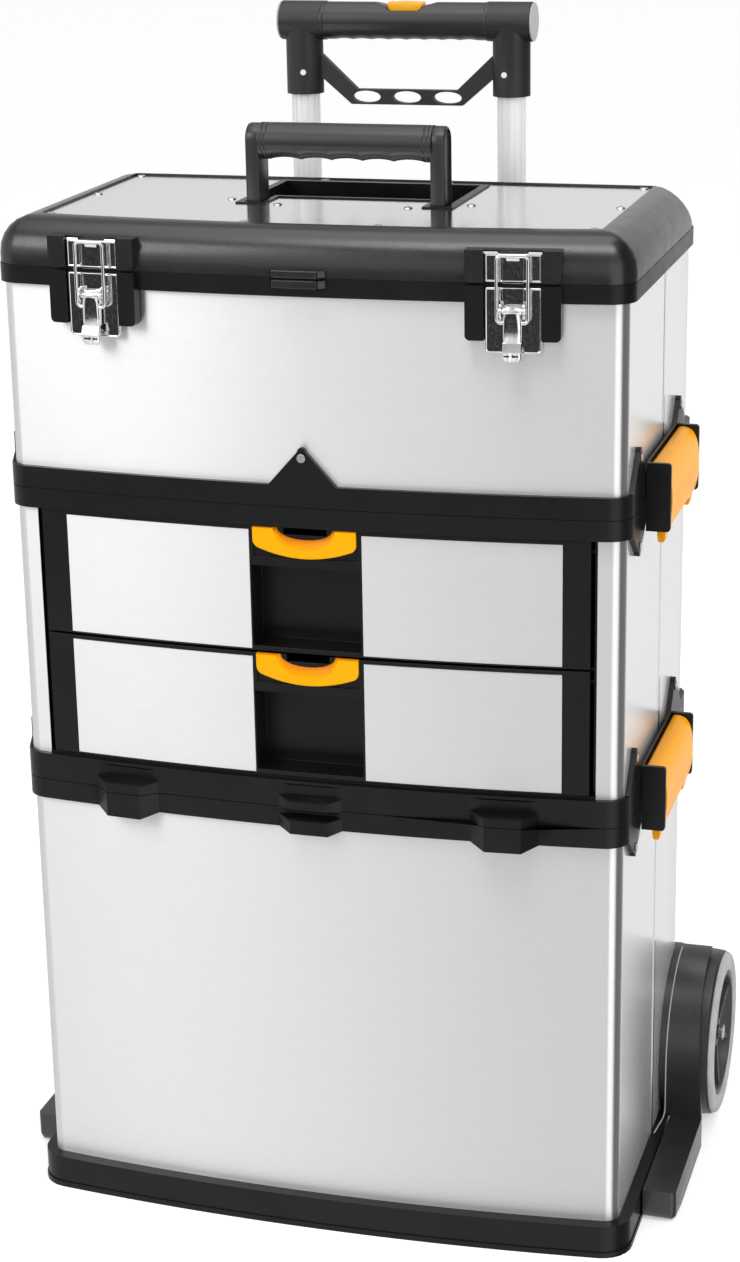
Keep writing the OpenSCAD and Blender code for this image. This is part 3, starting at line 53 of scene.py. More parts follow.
# ---- places and sizes of the CAD, in millimetres ----
RIM_W, RIM_D, BOW = 520.0, 292.0, 16.0  # moulded rims, and how far their front bows out
FRONT_Y, BACK_Y, SIDE_X = -RIM_D / 2, RIM_D / 2, RIM_W / 2
Z_UNIT, Z_BOX, Z_LID, Z_PLATE = 387.4, 643.3, 827.3, 862.7  # seams of the tiers, and the lid's steel plate
LOWER_Z, UPPER_Z, FRONT_H = 414.1, 521.1, 105.0  # drawer fronts
LATCH_X, LEVER_Y, LEVER_Z, PLATE_Y = 170.0, -8.6, 808.0, -2.4  # front latches, from the bowed front
LEVER_HALF = 7.7
CLIP_Y, CLIP_REACH, CHEEK_Y = -12.0, 128.4, 68.9
PIVOT_Y, PIVOT_Z, CARRY_Z, CARRY_X, POST_T, POST_R = -17.0, 853.0, 913.5, 84.0, 12.0, 13.0
TUBE_X, TUBE_Y, BAR_Z, SLEEVE_X = 93.0, 168.95, 991.5, 74.5
AXLE_Y, AXLE_Z, WHEEL_X, WHEEL_W, WHEEL_R = 136.0, 76.9, 267.8, 35.0, 76.5
STEEL_INSET, STEEL_CORNER, STEEL_CORNER_Y, STEEL_BACK_Y, SEAM_Y = 4.4, 12.0, -131.0, 100.0, 16.0
BASE_H, SLACK = 29.0, 0.1  # the bin's base, and how far a point may be off a plane that it lies on
GUARD_X, GUARD_R, STEP_CORNER, STEP_REACH = 261.6, 83.5, 5.0, 10.2
SHARP = 32.0  # degrees between two faces, from which their edge is shaded sharp and gets rounded
WELD = 0.01  # points nearer than this are one point
SIDES = ((-1, "left"), (1, "right"))

# ---- values that several materials share ----
NOISE_LOW, NOISE_HIGH = 0.3, 0.7  # where nearly all of a noise's values lie
PLASTIC_IOR = 1.5
HOLLOW_SHADE_SLOPE = (0.15, 0.52)  # part of a surface's normal along Z, between which the painted shade of a hollow sets in
SIDEWAYS, AWAY = (0.9, 0.99), (0.93, 0.995)  # the same for the finish of steel that faces aside or back
GRAIN_SHARE = 0.75  # of the grain in brushed metal's colour; fine specks have the rest
SATIN_METAL = 0.74  # how metallic the steel is on the sides and the back, which show softer mirror images


# ---- node helpers ----

class Nodes:
    """A node tree with short calls to add and join nodes."""

    def __init__(self, tree):
        self.tree = tree

    def give(self, socket, value):
        """Joins an output to the socket, or sets it to a number or colour."""
        if isinstance(value, bpy.types.NodeSocket):
            self.tree.links.new(value, socket)
        elif socket.type == "RGBA":
            socket.default_value = (*value, 1)
        else:
            socket.default_value = value

    def add(self, kind, *inputs, **values):
        """A new node: its first inputs in order, then settings and inputs by name."""
        node = self.tree.nodes.new(kind)
        for socket, value in zip(node.inputs, inputs):
            self.give(socket, value)
        for key, value in values.items():
            if hasattr(node, key):
                setattr(node, key, value)
            else:
                self.give(node.inputs[key.replace("_", " ")], value)
        return node

    def math(self, operation, *values):
        return self.add("ShaderNodeMath", *values, operation=operation).outputs[0]

    def ranged(self, value, low=0.0, high=1.0, from_low=NOISE_LOW, from_high=NOISE_HIGH):
        """The value between from_low and from_high, carried over to low and high."""
        return self.add("ShaderNodeMapRange", Value=value, From_Min=from_low, From_Max=from_high,
            To_Min=low, To_Max=high).outputs["Result"]

    def mixed(self, factor, a, b, blend="MIX"):
        """Mix of two colours."""
        node = self.add("ShaderNodeMix", data_type="RGBA", blend_type=blend, Factor=factor)
        self.give(node.inputs[6], a)
        self.give(node.inputs[7], b)
        return node.outputs[2]

    def mixed_shader(self, factor, a, b):
        return self.add("ShaderNodeMixShader", factor, a, b).outputs[0]

    def split(self, vector):
        return self.add("ShaderNodeSeparateXYZ", vector).outputs

    def ramp(self, value, stops):
        """Grey level of the value, eased between stops of (place, level)."""
        node = self.add("ShaderNodeValToRGB", value)
        band = node.color_ramp
        band.interpolation = "EASE"
        while len(band.elements) < len(stops):
            band.elements.new(0.5)
        for element, (place, level) in zip(band.elements, stops):
            element.position = place
            element.color = (level, level, level, 1)
        return node.outputs["Color"]


MATERIALS = {}


class Shader(Nodes):
    """The nodes of a new material, which goes into MATERIALS."""

    def __init__(self, name):
        MATERIALS[name] = bpy.data.materials.new(name)
        MATERIALS[name].use_nodes = True
        super().__init__(MATERIALS[name].node_tree)
        self.coords = self.add("ShaderNodeTexCoord").outputs

    def surface(self, **values):
        """Joins or sets inputs of the surface shader."""
        for key, value in values.items():
            self.give(self.tree.nodes["Principled BSDF"].inputs[key.replace("_", " ")], value)

    def noise(self, scale, detail=2.0, rough=0.5, stretch=None):
        """Noise on the piece's own coordinates, or on them times stretch."""
        place = self.coords["Object"]
        if stretch:
            place = self.add("ShaderNodeMapping", Vector=place, Scale=stretch).outputs["Vector"]
        return self.add("ShaderNodeTexNoise", Vector=place, Scale=scale, Detail=detail,
            Roughness=rough).outputs["Fac"]

    def bump(self, height, strength, distance):
        return self.add("ShaderNodeBump", Strength=strength, Distance=distance,
            Height=height).outputs["Normal"]


# ---- materials ----

def moulded_plastic(name, dark, light, rough_low, rough_high, grain=900.0, grain_depth=0.05, gloss=0.5,
        hollow=None):
    """Grained plastic with faint blotches, or with painted shade: another colour where it slopes up into a
    hollow.
    """
    s = Shader(name)
    if hollow:
        # painted shade: the colour turns to the hollow's darker one as the surface faces up
        colour = s.mixed(s.ranged(s.split(s.coords["Normal"])["Z"], 0.0, 1.0, *HOLLOW_SHADE_SLOPE), light, hollow)
    else:
        colour = s.mixed(s.ranged(s.noise(scale=14.0, detail=3.0)), dark, light)
    s.surface(Base_Color=colour, IOR=PLASTIC_IOR, Specular_IOR_Level=gloss,
        Roughness=s.ranged(s.noise(scale=60.0, detail=4.0, rough=0.65), rough_low, rough_high, 0.1, 0.9),
        Normal=s.bump(s.noise(grain, detail=3.0, rough=0.6), grain_depth, distance=0.0004))


def sheet_metal(name, dark, light, rough_low, rough_high, brush, anisotropy=0.0, metallic=1.0, side=1.0):
    """Brushed metal: brush stretches the grain along X, Y and Z, side is what X faces keep of roughness."""
    s = Shader(name)
    grain = s.noise(scale=1.0, detail=4.0, rough=0.7, stretch=brush)
    speck = s.noise(scale=90.0, detail=4.0, rough=0.7)
    tone = s.math("MULTIPLY_ADD", grain, GRAIN_SHARE, s.math("MULTIPLY", speck, 1 - GRAIN_SHARE))
    rough = s.ranged(s.noise(scale=5.0, detail=3.0, rough=0.6), rough_low, rough_high, 0.0, 1.0)
    s.surface(Metallic=metallic)
    if side < 1:
        normal = s.split(s.coords["Normal"])
        sideways = s.math("ABSOLUTE", normal["X"])
        rough = s.math("MULTIPLY", rough, s.ranged(sideways, 1.0, side, *SIDEWAYS))
        away = s.math("MAXIMUM", sideways, normal["Y"])
        s.surface(Metallic=s.ranged(away, metallic, SATIN_METAL, *AWAY))
    s.surface(Base_Color=s.mixed(s.ranged(tone, 0.0, 1.0, 0.1, 0.9), dark, light), Roughness=rough,
        Normal=s.bump(grain, 0.04, distance=0.0003), Anisotropic=anisotropy, Anisotropic_Rotation=0.25)
    if anisotropy:
        tangent = s.add("ShaderNodeTangent", direction_type="RADIAL", axis="Z")
        s.surface(Tangent=tangent.outputs["Tangent"])


def plated_metal(name, dark, light, rough_low, rough_high):
    """Plated metal with a slightly uneven gloss."""
    s = Shader(name)
    cloud = s.noise(scale=160.0, detail=4.0, rough=0.6)
    s.surface(Base_Color=s.mixed(s.ranged(cloud), dark, light), Metallic=1.0,
        Roughness=s.ranged(s.noise(scale=500.0, detail=3.0), rough_low, rough_high),
        Normal=s.bump(s.noise(scale=260.0), 0.04, distance=0.0005))


def rubber(name, dark, light, rough_low=0.5, rough_high=0.7):
    """Dull rubber with a trace of dust."""
    s = Shader(name)
    dust = s.noise(scale=45.0, detail=5.0, rough=0.7)
    s.surface(Base_Color=s.mixed(s.ranged(dust), dark, light), IOR=PLASTIC_IOR,
        Roughness=s.ranged(s.noise(scale=150.0, detail=3.0), rough_low, rough_high),
        Normal=s.bump(s.noise(scale=700.0, detail=3.0), 0.08, distance=0.0005))


moulded_plastic("black_plastic", (0.003, 0.003, 0.0034), (0.0064, 0.0064, 0.007), 0.26, 0.42, gloss=0.28)
moulded_plastic("handle_plastic", (0.010, 0.010, 0.0105), (0.017, 0.017, 0.0175), 0.3, 0.42, gloss=0.6)
moulded_plastic("lid_plastic", (0.005, 0.005, 0.0055), (0.010, 0.010, 0.0108), 0.2, 0.34,
    grain=500.0, grain_depth=0.06, gloss=0.7)
moulded_plastic("guard_plastic", (0.013, 0.013, 0.014), (0.022, 0.022, 0.023), 0.24, 0.36, gloss=0.7)
moulded_plastic("hub_plastic", (0.045, 0.045, 0.046), (0.07, 0.07, 0.071), 0.35, 0.5)
moulded_plastic("grained_plastic", (0.009, 0.009, 0.0095), (0.017, 0.017, 0.0178), 0.4, 0.56,
    grain=420.0, grain_depth=0.22, gloss=0.55)
moulded_plastic("grey_plastic", (0.40, 0.40, 0.405), (0.46, 0.46, 0.465), 0.35, 0.5)
moulded_plastic("yellow_plastic", (0.95, 0.375, 0.0008), (1.0, 0.41, 0.001), 0.24, 0.36,
    grain=700.0, grain_depth=0.03, gloss=0.16)
moulded_plastic("button_plastic", (1.0, 0.45, 0.02), (1.0, 0.49, 0.025), 0.24, 0.36,
    grain=700.0, grain_depth=0.02, gloss=0.3)
# The pull's hollow colour is painted shade: deeper orange where the scoop faces up under the rim.
moulded_plastic("pull_plastic", (1.0, 0.47, 0.0), (1.0, 0.47, 0.0), 0.22, 0.34,
    grain=700.0, grain_depth=0.02, gloss=0.13, hollow=(0.85, 0.24, 0.0))
sheet_metal("steel_front", (0.80, 0.80, 0.80), (0.92, 0.92, 0.92), 0.36, 0.44, (25, 25, 2600),
    anisotropy=0.9, side=0.62)
sheet_metal("steel_top", (0.68, 0.68, 0.685), (0.78, 0.78, 0.785), 0.1, 0.2, (25, 2600, 2600))
sheet_metal("folded_steel", (0.8, 0.8, 0.8), (0.9, 0.9, 0.9), 0.12, 0.2, (25, 25, 2600))
sheet_metal("tube_aluminium", (0.92, 0.92, 0.92), (0.97, 0.97, 0.97), 0.42, 0.54, (1400, 1400, 12),
    metallic=0.25)
plated_metal("chrome", (0.70, 0.70, 0.71), (0.86, 0.86, 0.87), 0.05, 0.14)
plated_metal("zinc_steel", (0.52, 0.52, 0.54), (0.68, 0.68, 0.70), 0.22, 0.36)
rubber("tyre_side", (0.36, 0.36, 0.37), (0.5, 0.5, 0.51))
rubber("tyre_tread", (0.016, 0.016, 0.017), (0.03, 0.03, 0.031), 0.34, 0.5)


# ---- mesh helpers ----

def body_of(node):
    for body, members in frame["record"]["behaviour"]["bodies"].items():
        if node in members:
            return body
    raise KeyError(node)


def added(name, data):
    """A new object in the scene."""
    thing = bpy.data.objects.new(name, data)
    bpy.context.scene.collection.objects.link(thing)
    return thing


def dressed(piece, body, material):
    """Gives a piece its material, slot and body."""
    piece.data.materials.clear()
    piece.data.materials.append(MATERIALS[material])
    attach(piece, body)


def shade(mesh, angle):
    """Smooth shading with sharp edges where faces meet at more than the angle."""
    bm = bmesh.new()
    bm.from_mesh(mesh)
    limit = radians(angle)
    for face in bm.faces:
        face.smooth = True
    for edge in bm.edges:
        if len(edge.link_faces) == 2:
            edge.smooth = edge.calc_face_angle(0.0) < limit
    bm.to_mesh(mesh)
    bm.free()


def bevelled(piece, width, segments, angle):
    """Rounds a piece's edges and applies the result."""
    mod = piece.modifiers.new("edges", "BEVEL")
    mod.width = width * MM
    mod.segments = segments
    mod.limit_method = "ANGLE"
    mod.angle_limit = radians(angle)
    mod.harden_normals = True
    mod.use_clamp_overlap = True
    graph = bpy.context.evaluated_depsgraph_get()
    mesh = bpy.data.meshes.new_from_object(piece.evaluated_get(graph))
    piece.modifiers.clear()
    old = piece.data
    piece.data = mesh
    bpy.data.meshes.remove(old)


def cleaned_copy(node):
    """The node's mesh as a new object with welded points and flat faces made whole."""
    mesh = frame["nodes"][node].data.copy()
    bm = bmesh.new()
    bm.from_mesh(mesh)
    bmesh.ops.remove_doubles(bm, verts=bm.verts, dist=WELD * MM)
    bmesh.ops.dissolve_limit(bm, angle_limit=radians(0.4), use_dissolve_boundaries=False,
        verts=bm.verts, edges=bm.edges, delimit=set())
    bm.to_mesh(mesh)
    bm.free()
    if mesh.attributes.get("custom_normal"):
        mesh.attributes.remove(mesh.attributes["custom_normal"])
    return added(node + "_piece", mesh)


def case_normal(x, y):
    """Outward direction of the steel case at a place in front of its rear corners, in millimetres."""
    centre_x, centre_y = SIDE_X - STEEL_INSET - STEEL_CORNER, STEEL_CORNER_Y
    if y >= centre_y:
        return Vector((copysign(1, x), 0, 0))
    if abs(x) > centre_x:
        return Vector((copysign(abs(x) - centre_x, x), y - centre_y, 0)).normalized()
    lean = asin(x / bow_radius(RIM_W - 2 * STEEL_INSET))
    return Vector((sin(lean), -cos(lean), 0))


def true_normals(mesh):
    """Exact normals for the case's smooth walls, so that its tight corners mirror evenly."""
    normals = []
    for face in mesh.polygons:
        for index in face.loop_indices:
            at = mesh.vertices[mesh.loops[index].vertex_index].co / MM
            normal = case_normal(at.x, at.y)
            facing = normal.dot(face.normal)
            flat_part = abs(at.x) > SIDE_X - 12 and STEEL_CORNER_Y - SLACK < at.y < STEEL_BACK_Y
            if at.y < STEEL_CORNER_Y + SLACK or flat_part:
                on_wall = abs(facing) > 0.9
                normals.append(normal * copysign(1, facing) if on_wall else face.normal.copy())
            else:
                normals.append(Vector((0, 0, 0)))
    mesh.normals_split_custom_set(normals)


def round_step(mesh):
    """Rounds the front outer corner of a wheel guard's step."""
    bm = bmesh.new()
    bm.from_mesh(mesh)
    reach = max(abs(vert.co.x) for vert in bm.verts) - SLACK * MM
    front = min(vert.co.y for vert in bm.verts) + STEP_REACH * MM
    edges = [edge for edge in bm.edges
        if all(abs(vert.co.x) > reach and vert.co.y < front for vert in edge.verts)
        and abs(edge.verts[0].co.z - edge.verts[1].co.z) > SLACK * MM]
    bmesh.ops.bevel(bm, geom=edges, offset=STEP_CORNER * MM, segments=5, profile=0.5, affect="EDGES")
    bm.to_mesh(mesh)
    bm.free()


def softened(node, material, width=0.0, segments=3):
    """A CAD node's shape in place of the node, with rounded edges, or exact normals where width is 0."""
    piece = cleaned_copy(node)
    if node.startswith("wheel_guard"):
        round_step(piece.data)
    shade(piece.data, SHARP)
    if width:
        bevelled(piece, width, segments, SHARP)
    else:
        true_normals(piece.data)
    dressed(piece, body_of(node), material)
    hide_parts(node)


def bow_radius(width):
    return (width * width / 4 + BOW * BOW) / (2 * BOW)


def bow_y(x, inset=0.0):
    """Front surface of the case at x, drawn in by inset."""
    radius = bow_radius(RIM_W - 2 * inset)
    return FRONT_Y + inset - BOW + radius - sqrt(radius * radius - x * x)


def on_front(x):
    """Frame that stands on the bowed front at x."""
    turn = Matrix.Rotation(asin(x / bow_radius(RIM_W)), 4, "Z")
    return Matrix.Translation((x, bow_y(x), 0)) @ turn


def flipped(side):
    """Mirrors left and right where side is -1."""
    return Matrix.Scale(side, 4, (1, 0, 0))


def circle(n):
    """Angles of n even steps round a circle."""
    return [2 * pi * k / n for k in range(n)]


def arc(cx, cy, r, a0, a1, n=6):
    turns = [radians(a0 + (a1 - a0) * i / n) for i in range(n + 1)]
    return [(cx + r * cos(t), cy + r * sin(t)) for t in turns]


def rounded(x0, x1, y0, y1, low_r, top_r, n):
    """Outline of a rectangle with round corners."""
    return (arc(x1 - low_r, y0 + low_r, low_r, -90, 0, n) + arc(x1 - top_r, y1 - top_r, top_r, 0, 90, n)
        + arc(x0 + top_r, y1 - top_r, top_r, 90, 180, n) + arc(x0 + low_r, y0 + low_r, low_r, 180, 270, n))


def smooth_line(points, steps=4):
    """Catmull-Rom line through the points."""
    ends = [points[0]] + list(points) + [points[-1]]
    line = []
    for a, b, c, d in zip(ends, ends[1:], ends[2:], ends[3:]):
        for i in range(steps):
            t = i / steps
            line.append(tuple(0.5 * (2 * q + (r - p) * t + (2 * p - 5 * q + 4 * r - s) * t * t
                + (3 * q - p - 3 * r + s) * t ** 3) for p, q, r, s in zip(a, b, c, d)))
    return line + [tuple(points[-1])]


def rounded_path(points, radius, steps):
    """Points of a bent wire: each inner corner of the path becomes an arc."""
    path = [Vector(points[0])]
    for a, b, c in zip(points, points[1:], points[2:]):
        a, b, c = Vector(a), Vector(b), Vector(c)
        u, v = (a - b).normalized(), (c - b).normalized()
        half = u.angle(v) / 2
        reach = radius / tan(half)
        centre = b + (u + v).normalized() * (radius / sin(half))
        p, q = b + u * reach - centre, b + v * reach - centre
        turn = p.angle(q)
        for i in range(steps + 1):
            t = i / steps
            path.append(centre + (p * sin((1 - t) * turn) + q * sin(t * turn)) / sin(turn))
    return path + [Vector(points[-1])]


class Build:
    """Collects shapes in millimetres and makes one piece of them."""

    def __init__(self, place=Matrix()):
        self.bm = bmesh.new()
        self.place = place

    def loft(self, rows, ring=False):
        """Faces between closed rows of points: a solid with two ends, or a ring that joins up."""
        verts = [[self.bm.verts.new(self.place @ Vector(point)) for point in row] for row in rows]
        n, m = len(verts), len(verts[0])
        for i in range(n if ring else n - 1):
            for j in range(m):
                a, b = verts[i], verts[(i + 1) % n]
                self.bm.faces.new((a[j], a[(j + 1) % m], b[(j + 1) % m], b[j]))
        if not ring:
            self.bm.faces.new(verts[0][::-1])
            self.bm.faces.new(verts[-1])

    def slab(self, outline, low, high, axis="Y"):
        """An outline drawn out along an axis; its points are the other two coordinates in order."""
        place = {"X": lambda a, b, t: (t, a, b), "Y": lambda a, b, t: (a, t, b),
            "Z": lambda a, b, t: (a, b, t)}[axis]
        self.loft([[place(a, b, t) for a, b in outline] for t in (low, high)])

    def turned(self, profile, centre, steps=128):
        """A closed profile of (along, radius) points turned about the X axis through centre."""
        rows = []
        for t in circle(steps):
            c, s = cos(t), sin(t)
            rows.append([(a + centre[0], r * c + centre[1], r * s + centre[2]) for a, r in profile])
        self.loft(rows, ring=True)

    def rod(self, start, end, radius, steps=32, edge=0.0):
        """A round bar with softened ends."""
        start, end = Vector(start), Vector(end)
        along = (end - start).normalized()
        side = along.orthogonal().normalized()
        up = along.cross(side)
        length = (end - start).length
        stations = [(0, radius), (length, radius)]
        if edge:
            ease = edge * 0.3
            stations = [(0, radius - edge), (ease, radius - ease), (edge, radius),
                (length - edge, radius), (length - ease, radius - ease), (length, radius - edge)]
        self.loft([[start + along * a + (side * cos(t) + up * sin(t)) * r for t in circle(steps)]
            for a, r in stations])

    def wire(self, path, radius, sides):
        """A round wire along a path, with a half-round end at each end."""
        along = [(b - a).normalized() for a, b in zip(path, path[1:])]
        tangents = [along[0]] + [(a + b).normalized() for a, b in zip(along, along[1:])] + [along[-1]]
        side = tangents[0].orthogonal().normalized()
        rows = []
        for point, tangent in zip(path, tangents):
            side = (side - tangent * side.dot(tangent)).normalized()
            rows.append((point, side.copy(), tangent.cross(side)))
        dome = ((0.95, 0.3), (0.7, 0.72), (0.3, 0.95))
        (first, *across), (last, *over) = rows[0], rows[-1]
        rings = [(first - tangents[0] * radius * out, *across, radius * size) for out, size in dome]
        rings += [(*row, radius) for row in rows]
        rings += [(last + tangents[-1] * radius * out, *over, radius * size) for out, size in dome[::-1]]
        self.loft([[p + (u * cos(t) + v * sin(t)) * r for t in circle(sides)]
            for p, u, v, r in rings])

    def piece(self, name, body, material, edge=0.0, segments=3, angle=SHARP):
        """The finished piece: shaded, its edges rounded by edge, dressed and riding its body."""
        bmesh.ops.recalc_face_normals(self.bm, faces=self.bm.faces)
        bmesh.ops.scale(self.bm, vec=(MM, MM, MM), verts=self.bm.verts)
        mesh = bpy.data.meshes.new(name)
        self.bm.to_mesh(mesh)
        self.bm.free()
        piece = added(name, mesh)
        shade(mesh, angle)
        if edge:
            bevelled(piece, edge, segments, angle)
        dressed(piece, body, material)
        return piece

    def stand_in(self, node, material, edge=0.0, segments=3, angle=SHARP, name=None):
        """The finished piece in place of a CAD node, riding the node's body."""
        piece = self.piece(name or node + "_piece", body_of(node), material, edge, segments, angle)
        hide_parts(node)


# ---- latches ----

# Rolled edge of a latch plate: how far it is drawn in, and how far back it lies.
BEAD = ((0, 1.15), (0, 0.35), (0.25, -0.25), (0.8, -0.55), (1.35, -0.3), (1.6, 0), (1.75, 0))
# Pins in the ears: place from the lever's pin in Y and Z, reach, radius, steps and edge.
EAR_PINS = ((0, 0, 2.6, 2.5, 20, 0.9), (-0.4, 4.0, 2.0, 1.5, 16, 0.6), (0.4, -4.0, 2.0, 1.5, 16, 0.6))
# Sections of the lever from the top down: height from its pin, half width, front and flatness.
LEVER_BODY = ((3.5, 5.6, -0.2, 0.9), (3.2, 6.2, -1.5, 0.9), (1.8, 6.6, -2.3, 0.9), (-2, 6.9, -2.4, 0.6),
    (-7, 7.1, -2.3, 0.42), (-14, 7.2, -2.2, 0.36), (-20, 7.1, -2.0, 0.36), (-24.2, 6.9, -1.7, 0.4))
# Cross block under it: Y and Z from its pin.
LEVER_BLOCK = ((1.5, -24.0), (1.5, -31.2), (-3.9, -31.2), (-4.3, -30.7), (-1.5, -24.5), (-1.1, -24.0))
# Sections of the tip: height, centre, depth and width.
LEVER_TIP = ((-31.0, -1.3, 2.5, 0.98), (-33, -1.4, 2.9, 1.05), (-35.2, -1.5, 2.8, 1.05),
    (-37.2, -1.5, 2.3, 0.97), (-38.6, -1.4, 1.5, 0.83), (-39.1, -1.3, 0.7, 0.64))


def rimmed_plate(b, half, z0, z1, low_r, top_r):
    """Thin plate whose edge is rolled into a fine bead."""
    rows = []
    for inset, y in BEAD:
        outline = rounded(inset - half, half - inset, z0 + inset, z1 - inset,
            max(low_r - inset, 0.15), max(top_r - inset, 0.15), 8)
        rows.append([(x, PLATE_Y + y, z) for x, z in outline])
    b.loft(rows)


def make_keepers():
    """Keeper plates on the lid: raised middle strip, a hook for the bail, two flared flanges on top."""
    sheets, parts = Build(), Build()
    z0, z1 = Z_LID + 1.7, Z_LID + 23.5
    for side, _ in SIDES:
        sheets.place = parts.place = on_front(side * LATCH_X)
        rimmed_plate(sheets, 21.85, z0, z1, 0.8, 1.6)
        parts.slab([(-8.2, z0 - 0.2), (8.2, z0 - 0.2), (8.2, z1 - 2.4), (6.8, z1 - 1.0), (-6.8, z1 - 1.0),
            (-8.2, z1 - 2.4)], PLATE_Y - 1.3, PLATE_Y + 0.2)
        parts.slab(rounded(-8.0, 8.0, z0 - 0.5, z0 + 1.3, 0.7, 0.7, 3), PLATE_Y - 2.3, PLATE_Y - 0.2)
        parts.slab([(PLATE_Y - 1.0, z1 - 5.4), (PLATE_Y - 1.0, z1 - 2.4), (PLATE_Y - 2.0, z1 - 2.4),
            (PLATE_Y - 2.2, z1 - 3.0), (PLATE_Y - 1.4, z1 - 5.4)], -5.0, 5.0, "X")
        for s in (-1, 1):
            flange = [(11.4, -0.6), (21.6, -0.6), (24.2, 1.2), (11.8, 1.2)]
            parts.loft([[(s * x, PLATE_Y + z / 4 + t, z1 + z) for x, z in flange] for t in (-0.25, 0.35)])
    sheets.stand_in("latch_keepers", "chrome", angle=70, name="latch_keeper_plates")
    parts.stand_in("latch_keepers", "chrome", 0.3, name="latch_keeper_hooks")


def make_latch_plates():
    """Lower plates with their middle strip, the lever's ears and its pin."""
    sheets, parts = Build(), Build()
    z0, z1 = Z_LID - 53.3, Z_LID - 2.3
    ear = LEVER_HALF + 0.45
    for side, _ in SIDES:
        sheets.place = parts.place = on_front(side * LATCH_X)
        rimmed_plate(sheets, 22.0, z0, z1, 4.0, 1.6)
        parts.slab([(-8.2, LEVER_Z - 6), (8.2, LEVER_Z - 6), (8.2, z1 - 0.3), (-8.2, z1 - 0.3)],
            PLATE_Y - 1.1, PLATE_Y + 0.2)
        for s in (-1, 1):
            outline = ([(PLATE_Y + 0.1, LEVER_Z + 6.6), (LEVER_Y + 1.8, LEVER_Z + 6.0)]
                + arc(LEVER_Y + 0.6, LEVER_Z + 3.0, 2.6, 100, 200, 5)
                + arc(LEVER_Y - 0.2, LEVER_Z - 0.2, 3.2, 150, 240, 5)
                + arc(LEVER_Y + 1.2, LEVER_Z - 4.2, 2.4, 170, 290, 5) + [(PLATE_Y + 0.1, LEVER_Z - 7.0)])
            parts.slab(outline, s * ear, s * (ear + 1.3), "X")
            for dy, dz, reach, radius, steps, edge in EAR_PINS:
                y, z = LEVER_Y + dy, LEVER_Z + dz
                parts.rod((s * (ear - 0.2), y, z), (s * (ear + reach), y, z), radius, steps, edge)
        parts.rod((-ear, LEVER_Y, LEVER_Z), (ear, LEVER_Y, LEVER_Z), 1.5, 20)
    sheets.stand_in("latch_plates", "chrome", angle=70, name="latch_lower_plates")
    parts.stand_in("latch_plates", "chrome", 0.35, name="latch_ears")


def make_lever(side, node):
    """Lever: curled top over the pin, arched body, tilted cross block and a two-lobed tip."""
    b = Build(on_front(side * LATCH_X))
    b.rod((-7.5, LEVER_Y, LEVER_Z), (7.5, LEVER_Y, LEVER_Z), 2.7, 32, 0.5)
    rows = []
    for drop, half, front, flat in LEVER_BODY:
        turns = [pi * (1 - k / 16) for k in range(17)]
        front_line = [(half * cos(t), 1.4 + (front - 1.4) * sin(t) ** flat) for t in turns]
        rows.append([(x, LEVER_Y + y, LEVER_Z + drop) for x, y in [(-half, 4.2), *front_line, (half, 4.2)]])
    b.loft(rows)
    b.slab([(LEVER_Y + y, LEVER_Z + z) for y, z in LEVER_BLOCK], -7.1, 7.1, "X")
    rows = []
    for drop, centre, deep, size in LEVER_TIP:
        ring = []
        for t in circle(48):
            x = 7.2 * size * cos(t)
            lobe = 0.42 + 0.58 * abs(cos(t) * 1.25) ** 0.8 if abs(cos(t)) < 0.8 else 1.0
            y = centre + deep * sin(t) * (lobe if sin(t) < 0 else 0.8)
            ring.append((x, LEVER_Y + y, LEVER_Z + drop))
        rows.append(ring)
    b.loft(rows)
    b.stand_in(node, "chrome", 0.4, angle=40)


def make_bail(side, node):
    """Bail: a bent wire whose ends turn into the lever."""
    b = Build(on_front(side * LATCH_X))
    x, y, z0, z1 = 12.0, LEVER_Y + 0.8, LEVER_Z - 9.2, Z_LID + 22.8
    path = [(6.4, y, z0), (x, y, z0), (x, y, z1), (-x, y, z1), (-x, y, z0), (-6.4, y, z0)]
    b.wire(rounded_path(path, 3.6, 8), 1.5, 18)
    b.stand_in(node, "chrome", angle=50)


# ---- side clips ----

# X from the case's side and Z from the seam: the lever's outer and inner skins, and its end walls.
CLIP_OUTER = smooth_line([(2.9, 28.4), (5.0, 29.3), (9.6, 29.1), (14.6, 26.6), (18.3, 20.5), (20.2, 11.5),
    (20.8, 1.0), (20.4, -9.0), (19.2, -17.5), (17.4, -24.2)])
CLIP_INNER = smooth_line([(14.6, -23.8), (16.3, -17.0), (17.4, -8.5), (17.8, 1.0), (17.2, 10.8),
    (15.4, 18.6), (12.0, 23.6), (8.4, 26.0), (6.4, 25.6), (3.2, 26.6)])
CLIP_END = ((3.2, 26.6), (8.4, 27.2), (14.5, 22.5), (17.6, 10.6), (18.2, 0), (17.6, -9), (15.8, -24),
    (14.9, -33.6), (13.9, -35.0), (10.2, -35.0), (9.2, -33.6), (8.0, -20), (6.4, -6), (3.0, 18))
CLIP_RAIL = ((0, 0.3), (1.5, 0.3), (1.5, 24), (1.1, 26), (1.1, 30.6), (0.6, 31.4), (0, 31.4))


